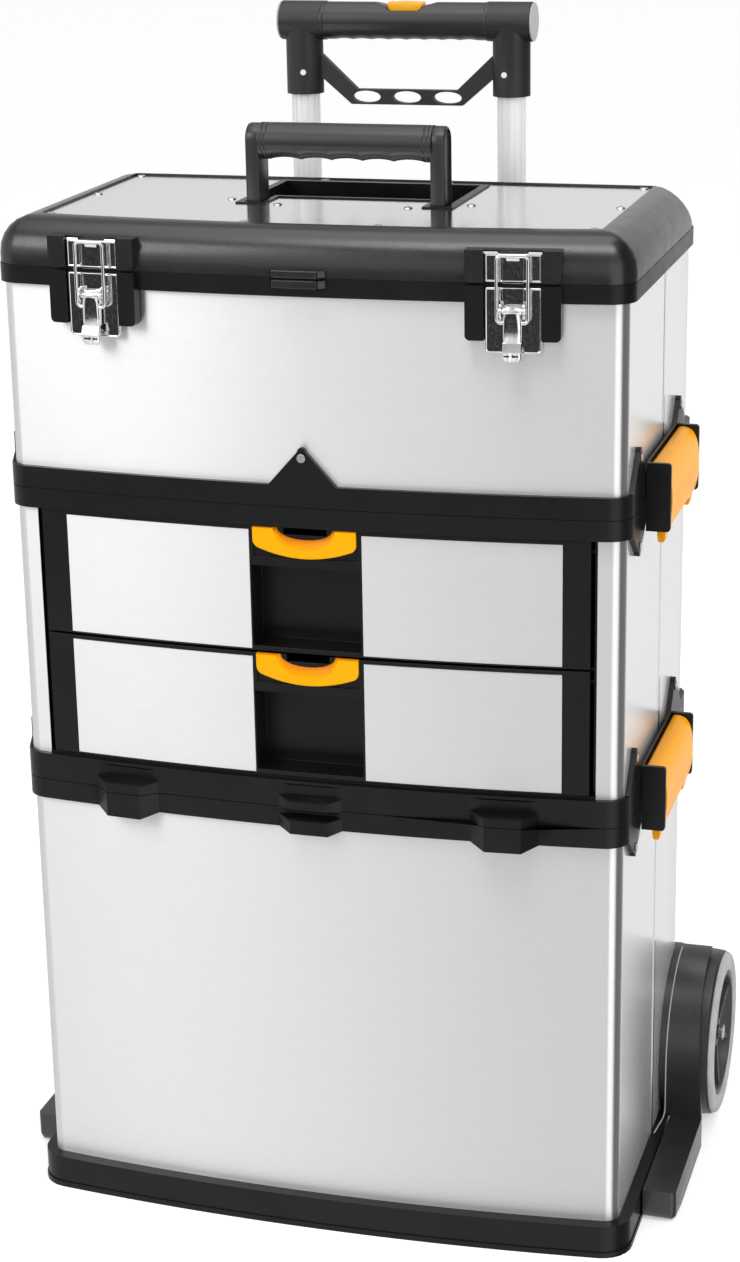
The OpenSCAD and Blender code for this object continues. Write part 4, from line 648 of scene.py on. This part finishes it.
def make_clip_lever(side, seam, node):
    """Bulged lever skin with shallow ribs, end walls and tips under the cheeks."""
    b = Build(flipped(side))
    y0, y1 = CLIP_Y - CLIP_REACH / 2, CLIP_Y + CLIP_REACH / 2
    columns, end, wall = 132, 12, 12
    rows = []
    for i in range(columns + 1):
        y = y0 + (y1 - y0) * i / columns
        rib = 0.35 if i % 12 in (5, 6) and end < i < columns - end else 0.0
        outer = [(x, z, rib * min(max((8 - z) / 10, 0), 1)) for x, z in CLIP_OUTER]
        rows.append([(SIDE_X + x - sink, y, seam + z) for x, z, sink in outer]
            + [(SIDE_X + x, y, seam + z) for x, z in CLIP_INNER])
    b.loft(rows)
    for y in (y0, y1 - wall):
        b.slab([(SIDE_X + x, seam + z) for x, z in CLIP_END], y, y + wall)
    b.stand_in(node, "yellow_plastic", 0.6, angle=34)


def make_clip_frames(seam, node):
    """Cheeks with the rail that joins them over the lever's pin."""
    b = Build()
    y0, y1 = CLIP_Y - CHEEK_Y, CLIP_Y + CHEEK_Y
    for side, _ in SIDES:
        b.place = flipped(side)
        b.slab([(SIDE_X + x, seam + z) for x, z in CLIP_RAIL], y0 + 2, y1 - 2)
        cheek = ([(SIDE_X + 0.3, seam - 25)] + arc(SIDE_X + 17, seam - 22, 3, 270, 360)
            + arc(SIDE_X + 17, seam + 28, 3, 0, 90) + [(SIDE_X + 0.3, seam + 31)])
        for y in (y0, y1 - 4):
            b.slab(cheek, y, y + 4)
    b.stand_in(node, "black_plastic", 0.7)


# ---- wheels ----

SPOKES = 6
# Side ring of the tyre: depth from its face, and how far in from the tyre's radius.
TYRE_RING = ((3.8, 1.9), (2.2, 2.6), (0.9, 3.8), (0.2, 5.4), (0.0, 8), (0.0, 15.6), (0.5, 17.6),
    (1.8, 18.8), (4.0, 19.0), (8.0, 19.0), (8.0, 6), (4.9, 2.6))


def make_wheel(side, word):
    """Tyre with a pale side ring and a dark tread, deep-dished hub."""
    centre = (WHEEL_X, AXLE_Y, AXLE_Z)
    w, r = WHEEL_W, WHEEL_R
    tyre = "tyre_" + word
    b = Build(flipped(side))
    crown = [(a, r - 0.9 + 0.9 * sin(pi * (a - 6) / (w - 12)))
        for a in (8, 10, 13, w / 2, w - 13, w - 10, w - 8)]
    b.turned([(4.6, r - 2.2), (6.0, r - 0.9), *crown, (w - 6.0, r - 0.9), (w - 4.6, r - 2.2),
        (w - 6, r - 8), (6, r - 8)], centre)
    b.stand_in(tyre, "tyre_tread", angle=30, name=tyre + "_tread")
    b = Build(flipped(side))
    b.turned([(a, r - q) for a, q in TYRE_RING], centre)
    b.turned([(w - a, r - q) for a, q in TYRE_RING], centre)
    b.stand_in(tyre, "tyre_side", angle=30, name=tyre + "_rings")
    b = Build(flipped(side))
    rim = r - 19.1
    b.turned([(1.9, rim), (1.5, rim - 0.6), (1.5, rim - 3.6), (2.2, rim - 4.4), (10.5, rim - 5.6),
        (14.0, rim - 7.4), (15.0, rim - 11), (15.0, 17.0), (14.0, 14.0), (3.0, 13.0), (0.6, 12.4),
        (0.6, 4.2), (28.6, 4.2), (28.6, 12.2), (27.6, 13.0), (22.0, 13.8), (20.0, 17.0), (20.0, rim - 11),
        (21.0, rim - 7.4), (24.5, rim - 5.6), (w - 2.2, rim - 4.4), (w - 1.5, rim - 3.6),
        (w - 1.5, rim - 0.6), (w - 1.9, rim)], centre)
    # A spoke on each face of the dish: distance from the axle, its two depths and half its width.
    spokes = (((11.5, 4.0, 16.0, 1.5), (34, 11.0, 16.0, 1.5), (rim - 6.5, 15.0, 16.0, 1.5)),
        ((11.5, 19.0, 28.2, 1.6), (32, 19.0, 29.4, 2.0), (rim - 5.0, 19.0, 31.4, 2.8)))
    for k in range(SPOKES):
        turn = radians(k * 360 / SPOKES + 30)
        out = Vector((0, cos(turn), sin(turn)))
        wide = Vector((0, -sin(turn), cos(turn)))
        for spoke in spokes:
            b.loft([[Vector(centre) + out * reach + wide * t + Vector((a, 0, 0)) for a, t in
                ((a0, -half), (a1, -half), (a1, half), (a0, half))] for reach, a0, a1, half in spoke])
    b.stand_in("wheel_hub_" + word, "hub_plastic", 0.5, 2, angle=30)


# ---- seams, edges and lips of the case ----

# Piece, the wall it lies on, how proud it stands, and its two heights.
SEAMS = (("bin_seams", "bin_back_wall", 0.65, BASE_H + 0.2, Z_UNIT - 17.0),
    ("unit_seams", "unit_wall", 0.3, Z_UNIT + 23.6, Z_BOX - 16.5),
    ("box_seams", "box_back_wall", 0.3, Z_BOX + 18.3, Z_LID - 14.7))


def make_seams():
    """Folded edge of the rear sheet where it laps the front sheet on each side."""
    x = SIDE_X - STEEL_INSET
    for name, wall, proud, z0, z1 in SEAMS:
        b = Build()
        for side, _ in SIDES:
            b.place = flipped(side)
            b.slab([(x - 0.3, SEAM_Y + 0.3), (x + proud, SEAM_Y + 0.3), (x + proud, SEAM_Y + 1.8),
                (x + proud * 0.5, SEAM_Y + 7), (x - 0.3, SEAM_Y + 12)], z0, z1, "Z")
        b.piece(name, body_of(wall), "folded_steel", 0.12, 2)


def make_guard_edge_highlight(side, word):
    """Raised edge of a wheel guard, from the seam along the base and up round the wheel, pale grey as a
    painted highlight along the guard's edge.
    """
    b = Build(flipped(side))
    x, z, r = GUARD_X + 0.6, BASE_H + 0.5, GUARD_R + 0.1
    path = rounded_path([(x - 3.5, SEAM_Y + 1, z), (x, AXLE_Y - r, z), (x, AXLE_Y - r, AXLE_Z - 8)], 8, 6)
    path += [Vector((x, y, z)) for y, z in arc(AXLE_Y, AXLE_Z, r, 180, 92, 32)]
    b.wire(path, 0.6, 12)
    guard = "wheel_guard_" + word
    # painted highlight: the pale grey of this edge stands in for light caught along the guard's edge
    b.piece(guard + "_edge", body_of(guard), "grey_plastic", angle=50)


def make_lip(name, body, z0, z1):
    """Finger lip over or under the lid seam, in the middle of the front."""
    b = Build()
    y = FRONT_Y - BOW
    b.slab([(-23.5, y + 3), (-18.6, y - 6.3), (17.0, y - 6.3), (24.0, y - 1.2), (24.5, y + 3)], z0, z1, "Z")
    b.piece(name, body, "lid_plastic", 0.9)


# ---- carry handle ----

# The post's rounded edge and hollowed outer face: X, and how far its outline is drawn in.
POST_EDGE = ((CARRY_X - POST_T, 1.5), (CARRY_X - POST_T + 0.45, 0.45), (CARRY_X - POST_T + 1.5, 0),
    (CARRY_X - 2.2, 0), (CARRY_X - 0.7, 0.7), (CARRY_X, 2.0))
POST_HOLLOW = (CARRY_X, CARRY_X - 0.3, CARRY_X - 2.0)


def post_outline(r):
    return arc(PIVOT_Y, CARRY_Z, r, 0, 180, 20) + arc(PIVOT_Y, PIVOT_Z, r, 180, 360, 20)


def inward(outline, distance):
    """The outline of a rounded bar drawn in by a distance."""
    if not distance:
        return list(outline)
    points = []
    for (ax, ay), (x, y), (bx, by) in zip(outline[-1:] + outline, outline, outline[1:] + outline[:1]):
        dx, dy = bx - ax, by - ay
        length = hypot(dx, dy)
        points.append((x - dy / length * distance, y + dx / length * distance))
    return points


def make_carry_handle():
    """Grip with finger waves and collars between two posts with hollowed outer faces."""
    b = Build()
    x0 = CARRY_X - POST_T
    grip_r, groove, collar, wave_depth = 14.9, 0.55, 6.5, 1.9
    waves, steps, sides = 5, 288, 48
    rows = []
    for i in range(steps + 1):
        x = -x0 - 1 + (2 * x0 + 2) * i / steps
        edge = x0 - abs(x)
        radius = grip_r - (groove if 1.4 < edge < 2.4 or 5.0 < edge < 6.0 else 0.0)
        scoop = 0.0
        if edge > collar:
            along = (x + x0 - collar) / (2 * (x0 - collar))
            scoop = wave_depth * abs(sin(pi * waves * along)) ** 0.7
        ring = []
        for t in circle(sides):
            lift = scoop * max(-sin(t), 0) ** 1.5
            ring.append((x, PIVOT_Y + radius * cos(t), CARRY_Z - 1.4 + radius * sin(t) + lift))
        rows.append(ring)
    b.loft(rows)
    b.stand_in("carry_handle", "handle_plastic", angle=50, name="carry_grip")
    b = Build()
    for side, _ in SIDES:
        b.place = flipped(side)
        rows = [[(x, *point) for point in inward(post_outline(POST_R), sink)] for x, sink in POST_EDGE]
        rows += [[(x, *point) for point in post_outline(POST_R - 2.4)] for x in POST_HOLLOW]
        b.loft(rows)
        b.rod((CARRY_X - 2.2, PIVOT_Y, PIVOT_Z), (CARRY_X, PIVOT_Y, PIVOT_Z), 5.5, 32, 0.4)
    b.stand_in("carry_handle", "handle_plastic", name="carry_posts")


# ---- trolley handle ----

# The button's crown: Y from the tubes, and how far its outline shrinks.
BUTTON_CROWN = ((-7.5, 1.6), (-7.3, 0.8), (-6.6, 0.25), (-5.6, 0.0), (0, 0.0), (5.6, 0.0), (6.6, 0.25),
    (7.3, 0.8), (7.5, 1.6))


def eased(value, start, end):
    """1 up to start, falling smoothly to 0 at end."""
    return 0.5 + 0.5 * cos(pi * min(max((value - start) / (end - start), 0), 1))


def make_button():
    """Release button with a crowned top and round lower corners."""
    b = Build()
    outline = (arc(9.6, 11.6, 6.0, -70, 0, 6) + arc(13.8, 14.6, 1.8, 0, 80, 4)
        + arc(0, -86.0, 102.6, 82.5, 97.5, 10) + arc(-13.8, 14.6, 1.8, 100, 180, 4)
        + arc(-9.6, 11.6, 6.0, 180, 250, 6))
    low = 11
    b.loft([[(x * (1 - shrink / 16), TUBE_Y + y, BAR_Z + low + (z - low) * (1 - shrink / 6))
        for x, z in outline] for y, shrink in BUTTON_CROWN])
    b.stand_in("release_button", "button_plastic", angle=40)


def make_trolley_grip():
    """Middle grip with a dip for the button, a parting line and a wavy underside."""
    b = Build()
    steps, sides, r = 180, 64, 16.0
    waves, wave_depth, wave_reach = 8, 0.8, 64
    rows = []
    for i in range(steps + 1):
        x = -SLEEVE_X + 2 * SLEEVE_X * i / steps
        dip = 4.2 * eased(abs(x), 12.5, 17.0) + 2.6 * eased(abs(x), 17.0, 29.0)
        wave = 0.0
        if abs(x) < wave_reach:
            wave = wave_depth * abs(sin(pi * (x + wave_reach) / (2 * wave_reach) * waves))
        ring = []
        for k, t in enumerate(circle(sides)):
            parting = 0.975 if k in (sides - 3, sides // 2 + 3) else 1.0
            z = min(r * sin(t), r - dip) + wave * max(-sin(t), 0) ** 2
            ring.append((x, TUBE_Y + r * cos(t) * parting, BAR_Z + z))
        rows.append(ring)
    b.loft(rows)
    for side, _ in SIDES:
        b.rod((side * SLEEVE_X, TUBE_Y, BAR_Z), (side * (SLEEVE_X - 2.6), TUBE_Y, BAR_Z), 16.7, 64, 0.4)
    b.stand_in("handle_grip", "handle_plastic", angle=40, name="trolley_grip")


def make_brace():
    """Brace between the stems with three oval holes."""
    drop, height, rise, arm = 65.0, 13.0, 24.0, 20.0
    tee_r, lap = 16.25, 1.4
    hole_pitch, hole_half_w, hole_half_h = 36.5, 12.9, 5.2
    z0 = BAR_Z - drop - height / 2
    z1, xs = z0 + height, TUBE_X - tee_r + lap
    outer = [(-50, z0), (50, z0), (xs, z0 + rise), (xs, z0 + rise + arm), (45, z1), (-45, z1),
        (-xs, z0 + rise + arm), (-xs, z0 + rise)]
    holes = [[(i * hole_pitch + hole_half_w * cos(t), z0 + height / 2 + hole_half_h * sin(t))
        for t in circle(40)] for i in (-1, 0, 1)]
    curve = bpy.data.curves.new("brace_outline", "CURVE")
    curve.dimensions, curve.fill_mode, curve.extrude = "2D", "BOTH", 4.0
    for outline in [outer] + holes:
        spline = curve.splines.new("POLY")
        spline.points.add(len(outline) - 1)
        spline.use_cyclic_u = True
        for point, (x, z) in zip(spline.points, outline):
            point.co = (x, z, 0, 1)
    shape = added("brace_outline", curve)
    mesh = bpy.data.meshes.new_from_object(shape.evaluated_get(bpy.context.evaluated_depsgraph_get()))
    bpy.data.objects.remove(shape)
    bpy.data.curves.remove(curve)
    b = Build()
    b.bm.from_mesh(mesh)
    bpy.data.meshes.remove(mesh)
    bmesh.ops.remove_doubles(b.bm, verts=b.bm.verts, dist=0.001)
    bmesh.ops.dissolve_limit(b.bm, angle_limit=0.01, verts=b.bm.verts, edges=b.bm.edges)
    for vert in b.bm.verts:
        x, z, y = vert.co
        vert.co = (x, TUBE_Y + y, z)
    b.stand_in("handle_brace", "grained_plastic", 1.1, name="brace_piece")


# ---- drawer pulls ----

def scooped(x, half):
    """Depth of a U-shaped hollow at x, from 0 at its sides to 1 in the middle."""
    share = min(abs(x) / half, 1)
    return (1 - share ** 2.2) ** 0.5


def make_pull(z0, node):
    """Yellow pull: curved lower edge, and a scoop whose lip slopes back to the gap behind it."""
    b = Build()
    half, height, curve, corner = 43.0, 25.0, 9.0, 4.0
    lip_depth, lip_half, gap_depth, gap_half = 17.2, 25.8, 10.0, 23.2
    top, columns = z0 + FRONT_H, 172
    rows = []
    for i in range(columns + 1):
        x = half * (2 * i / columns - 1)
        turn = max(abs(x) - half + corner, 0.0)
        corner_rise = corner - sqrt(max(corner * corner - turn * turn, 0.0))
        low = top - height + curve * (x / half) ** 2 + corner_rise
        lip = top - lip_depth * scooped(x, lip_half)
        back = top - gap_depth * scooped(x, gap_half)
        front, rear = bow_y(x, 0.4), bow_y(x, 4.4)
        points = [(rear, low + 0.3), (front + 0.9, low), (front + 0.2, low + 0.5), (front, low + 1.4),
            (front, (low + lip) / 2), (front, lip - 1.6), (front + 0.15, lip - 0.6)]
        edge = front + 0.4
        for t in (0.15, 0.35, 0.6, 0.8, 1.0):
            points.append((edge + (rear - edge) * t, lip + (back - lip) * (1 - (1 - t) ** 1.7)))
        rows.append([(x, y, z) for y, z in points])
    b.loft(rows)
    b.stand_in(node, "pull_plastic", angle=46)


# ---- screws of the lid ----

# The rings of a domed head: radius and height.
SCREW_DOME = ((2.6, 1.15), (3.3, 0.85), (3.65, 0.45), (3.75, 0.0))


def screw_places():
    """Middles of the lid's screws: on the steel plate's border and round the tray."""
    border, back_border, inset = 30, 43, 7
    side, back = SIDE_X - border - inset, BACK_Y - back_border - inset
    middle, pivot = 55, 102
    places = []
    for s in (-1, 1):
        places += [(s * side, bow_y(side, border) + inset), (s * side, -6), (s * side, back),
            (s * pivot, PIVOT_Y + 4), (s * middle, bow_y(middle, border) + inset),
            (s * middle, PIVOT_Y - POST_R - 5), (s * middle, BACK_Y - back_border - 5.5)]
    return places


def make_screws():
    """Domed heads with a cross recess."""
    b = Build()
    arm, reach = 0.42, 1.7
    cross = [(reach, -arm), (reach, 0), (reach, arm), (arm, arm), (arm, (arm + reach) / 2), (arm, reach)]
    plus = [(c * x - s * y, s * x + c * y) for c, s in ((1, 0), (0, 1), (-1, 0), (0, -1)) for x, y in cross]
    turns = [atan2(-arm, reach) + t for t in circle(len(plus))]
    rows = [[(x, y, z) for x, y in plus] for z in (0.35, 1.25)]
    rows += [[(r * cos(t), r * sin(t), z) for t in turns] for r, z in SCREW_DOME]
    for n, (x, y) in enumerate(screw_places()):
        b.place = Matrix.Translation((x, y, Z_PLATE)) @ Matrix.Rotation(0.7 * n, 4, "Z")
        b.loft(rows)
    b.stand_in("lid_screws", "zinc_steel", angle=40, name="lid_screw_heads")


# ---- all pieces ----

# CAD nodes shown with rounded edges: material, width of the rounding, and its segments where not 3.
# The case's walls have no rounding.
SOFTENED = {
    "bin_base": ("black_plastic", 1.2),
    "bin_front_wall": ("steel_front",),
    "bin_back_wall": ("steel_front",),
    "bin_rim": ("black_plastic", 0.9),
    "bin_rivets": ("zinc_steel", 0.5),
    "wheel_guard_left": ("guard_plastic", 1.2),
    "wheel_guard_right": ("guard_plastic", 1.2),
    "axle_bolts": ("zinc_steel", 0.8, 2),
    "axle_blocks": ("black_plastic", 0.8, 2),
    "tube_brackets": ("black_plastic", 1.2),
    "fixed_tubes": ("zinc_steel", 0.3, 2),
    "sliding_tubes": ("tube_aluminium", 0.15, 1),
    "handle_tees": ("grained_plastic", 1.2),
    "handle_end_caps": ("grey_plastic", 0.8),
    "tee_pins": ("tube_aluminium", 0.3, 2),
    "unit_base": ("black_plastic", 0.9),
    "unit_rim": ("black_plastic", 0.9),
    "unit_wall": ("steel_front",),
    "unit_fasteners": ("zinc_steel", 0.5),
    "drawer_upper": ("black_plastic", 0.5, 2),
    "drawer_upper_plates": ("steel_front", 0.15, 1),
    "drawer_lower": ("black_plastic", 0.5, 2),
    "drawer_lower_plates": ("steel_front", 0.15, 1),
    "box_base": ("black_plastic", 0.9),
    "box_front_wall": ("steel_front",),
    "box_back_wall": ("steel_front",),
    "box_rim": ("black_plastic", 0.9),
    "box_fasteners": ("zinc_steel", 0.5),
    "box_hinges": ("zinc_steel", 0.3, 2),
    "lid_hinges": ("zinc_steel", 0.3, 2),
    "lid_frame": ("lid_plastic", 0.9),
    "lid_plate": ("steel_top", 0.2, 1),
    "handle_tray": ("black_plastic", 0.8, 2),
    "handle_pins": ("zinc_steel", 0.3, 2),
}
# CAD nodes shown as they are.
KEPT = {
    "unit_runners": "black_plastic",
    "tube_bushes": "grey_plastic",
    "release_rods": "zinc_steel",
}

for node, finish in SOFTENED.items():
    softened(node, *finish)
make_keepers()
make_latch_plates()
for side, word in SIDES:
    make_lever(side, "latch_lever_" + word)
    make_bail(side, "latch_bail_" + word)
    make_clip_lever(side, Z_UNIT, "unit_clip_" + word)
    make_clip_lever(side, Z_BOX, "box_clip_" + word)
make_clip_frames(Z_UNIT, "unit_clip_frames")
make_clip_frames(Z_BOX, "box_clip_frames")
make_seams()
for side, word in SIDES:
    make_guard_edge_highlight(side, word)
make_lip("lid_lip", "lid", Z_LID + 0.9, Z_LID + 6.6)
make_lip("box_lip", "top_box", Z_LID - 7.4, Z_LID - 0.9)
make_carry_handle()
make_trolley_grip()
make_button()
make_brace()
make_pull(UPPER_Z, "drawer_upper_pull")
make_pull(LOWER_Z, "drawer_lower_pull")
make_screws()
for side, word in SIDES:
    make_wheel(side, word)
for node, material in KEPT.items():
    kept = frame["nodes"][node]
    kept.data.materials.clear()
    kept.data.materials.append(MATERIALS[material])


# ---- stage, light and camera ----

# Level of the studio wall that metal mirrors, by bearing: 0 is straight behind the case, 0.5 in front.
STUDIO_WALL = [(0.0, 0.84), (0.08, 0.8), (0.2, 0.7), (0.34, 0.8), (0.40, 0.92), (0.45, 1.02),
    (0.475, 0.88), (0.505, 0.76), (0.53, 0.74), (0.545, 1.25), (0.665, 1.25), (0.69, 0.15), (0.90, 0.2),
    (0.935, 0.7), (0.96, 0.78)]
# How much of that level is left at a height: half the sine of the elevation, plus a half.
STUDIO_RISE = [(0.0, 1.02), (0.3, 1.1), (0.5, 1.0), (0.66, 1.06), (0.76, 0.7), (0.88, 0.6), (0.95, 2.4),
    (1.0, 3.0)]
# A dark flag low in front of the case: its bearings and its heights.
FLAG_WALL = [(0.33, 0.0), (0.36, 1.0), (0.545, 1.0), (0.575, 0.0)]
FLAG_RISE = [(0.345, 0.0), (0.37, 1.0), (0.455, 1.0), (0.478, 0.0)]
FLAG_COLOUR = (0.035, 0.035, 0.037)
WORLD_LIGHT, FLOOR_GLOW = 0.62, 0.42
WHITE, FLOOR_WHITE = (1, 1, 1), (0.9, 0.9, 0.9)
FLOOR_HALF = 30.0


def make_world():
    """Plain light on the object, a studio in its mirror images, and white behind it."""
    world = bpy.data.worlds.new("studio")
    bpy.context.scene.world = world
    world.use_nodes = True
    s = Nodes(world.node_tree)
    s.tree.nodes.clear()
    toward = s.split(s.add("ShaderNodeTexCoord").outputs["Generated"])
    turn = s.math("ARCTAN2", toward["X"], s.math("MULTIPLY", toward["Y"], -1.0))
    bearing = s.ranged(turn, 0.0, 1.0, -pi, pi)
    height = s.math("MULTIPLY_ADD", toward["Z"], 0.5, 0.5)
    studio = s.mixed(1.0, s.ramp(bearing, STUDIO_WALL), s.ramp(height, STUDIO_RISE), "MULTIPLY")
    flag = s.math("MULTIPLY", s.ramp(bearing, FLAG_WALL), s.ramp(height, FLAG_RISE))
    plain = s.add("ShaderNodeBackground", WHITE, WORLD_LIGHT).outputs[0]
    mirrored = s.add("ShaderNodeBackground", s.mixed(flag, studio, FLAG_COLOUR)).outputs[0]
    white = s.add("ShaderNodeBackground", WHITE).outputs[0]
    ray = s.add("ShaderNodeLightPath").outputs
    lit = s.mixed_shader(ray["Is Glossy Ray"], plain, mirrored)
    seen = s.math("MAXIMUM", ray["Is Camera Ray"], ray["Is Transmission Ray"])
    s.add("ShaderNodeOutputWorld", s.mixed_shader(seen, lit, white))


def make_floor():
    """Pale floor that glows a little for the camera and is left out of mirror images."""
    half = FLOOR_HALF
    mesh = bpy.data.meshes.new("floor")
    corners = [(-half, -half, 0), (half, -half, 0), (half, half, 0), (-half, half, 0)]
    mesh.from_pydata(corners, [], [(0, 1, 2, 3)])
    floor = added("floor", mesh)
    material = bpy.data.materials.new("floor")
    material.use_nodes = True
    s = Nodes(material.node_tree)
    s.tree.nodes.clear()
    pale = s.add("ShaderNodeBsdfDiffuse", FLOOR_WHITE).outputs[0]
    glow = s.add("ShaderNodeEmission", Strength=FLOOR_GLOW).outputs[0]
    clear = s.add("ShaderNodeBsdfTransparent").outputs[0]
    ray = s.add("ShaderNodeLightPath").outputs
    seen = s.mixed_shader(ray["Is Camera Ray"], pale, s.add("ShaderNodeAddShader", pale, glow).outputs[0])
    s.add("ShaderNodeOutputMaterial", s.mixed_shader(ray["Is Glossy Ray"], seen, clear))
    mesh.materials.append(material)


def soft_lamp(name, at, target, size, power):
    data = bpy.data.lights.new(name, "AREA")
    data.shape = "RECTANGLE"
    data.size, data.size_y = size
    data.energy = power
    lamp = added(name, data)
    lamp.location = at
    lamp.rotation_euler = (Vector(target) - Vector(at)).to_track_quat("-Z", "Y").to_euler()
    lamp.visible_camera = False
    return lamp


def make_camera():
    level = cos(PITCH)
    forward = Vector((-sin(YAW) * level, cos(YAW) * level, -sin(PITCH)))
    right = Vector((cos(YAW), sin(YAW), 0))
    up = right.cross(forward)
    right, up = (cos(ROLL) * right + sin(ROLL) * up, cos(ROLL) * up - sin(ROLL) * right)
    data = bpy.data.cameras.new("camera")
    data.sensor_width = SENSOR
    data.lens = FOCAL_PX * SENSOR / max(IMAGE_W, IMAGE_H)
    data.clip_start, data.clip_end = 0.05, 100
    camera = added("camera", data)
    camera.matrix_world = Matrix((
        (right.x, up.x, -forward.x, CAMERA_AT.x),
        (right.y, up.y, -forward.y, CAMERA_AT.y),
        (right.z, up.z, -forward.z, CAMERA_AT.z),
        (0, 0, 0, 1)))
    bpy.context.scene.camera = camera


make_world()
make_floor()
soft_lamp("key", at=(-1.9, -2.3, 2.4), target=(0, 0, 0.5), size=(1.6, 1.6), power=32)
fill = soft_lamp("fill", at=(2.6, -0.5, 1.4), target=(0, 0, 0.5), size=(1.6, 2.2), power=34)
fill.visible_glossy = False  # else its image makes a second bright band in the case's corner
soft_lamp("top", at=(0.2, -0.9, 3.0), target=(0, 0, 0.9), size=(1.8, 0.8), power=14)
make_camera()
bpy.context.scene.view_settings.view_transform = "Standard"
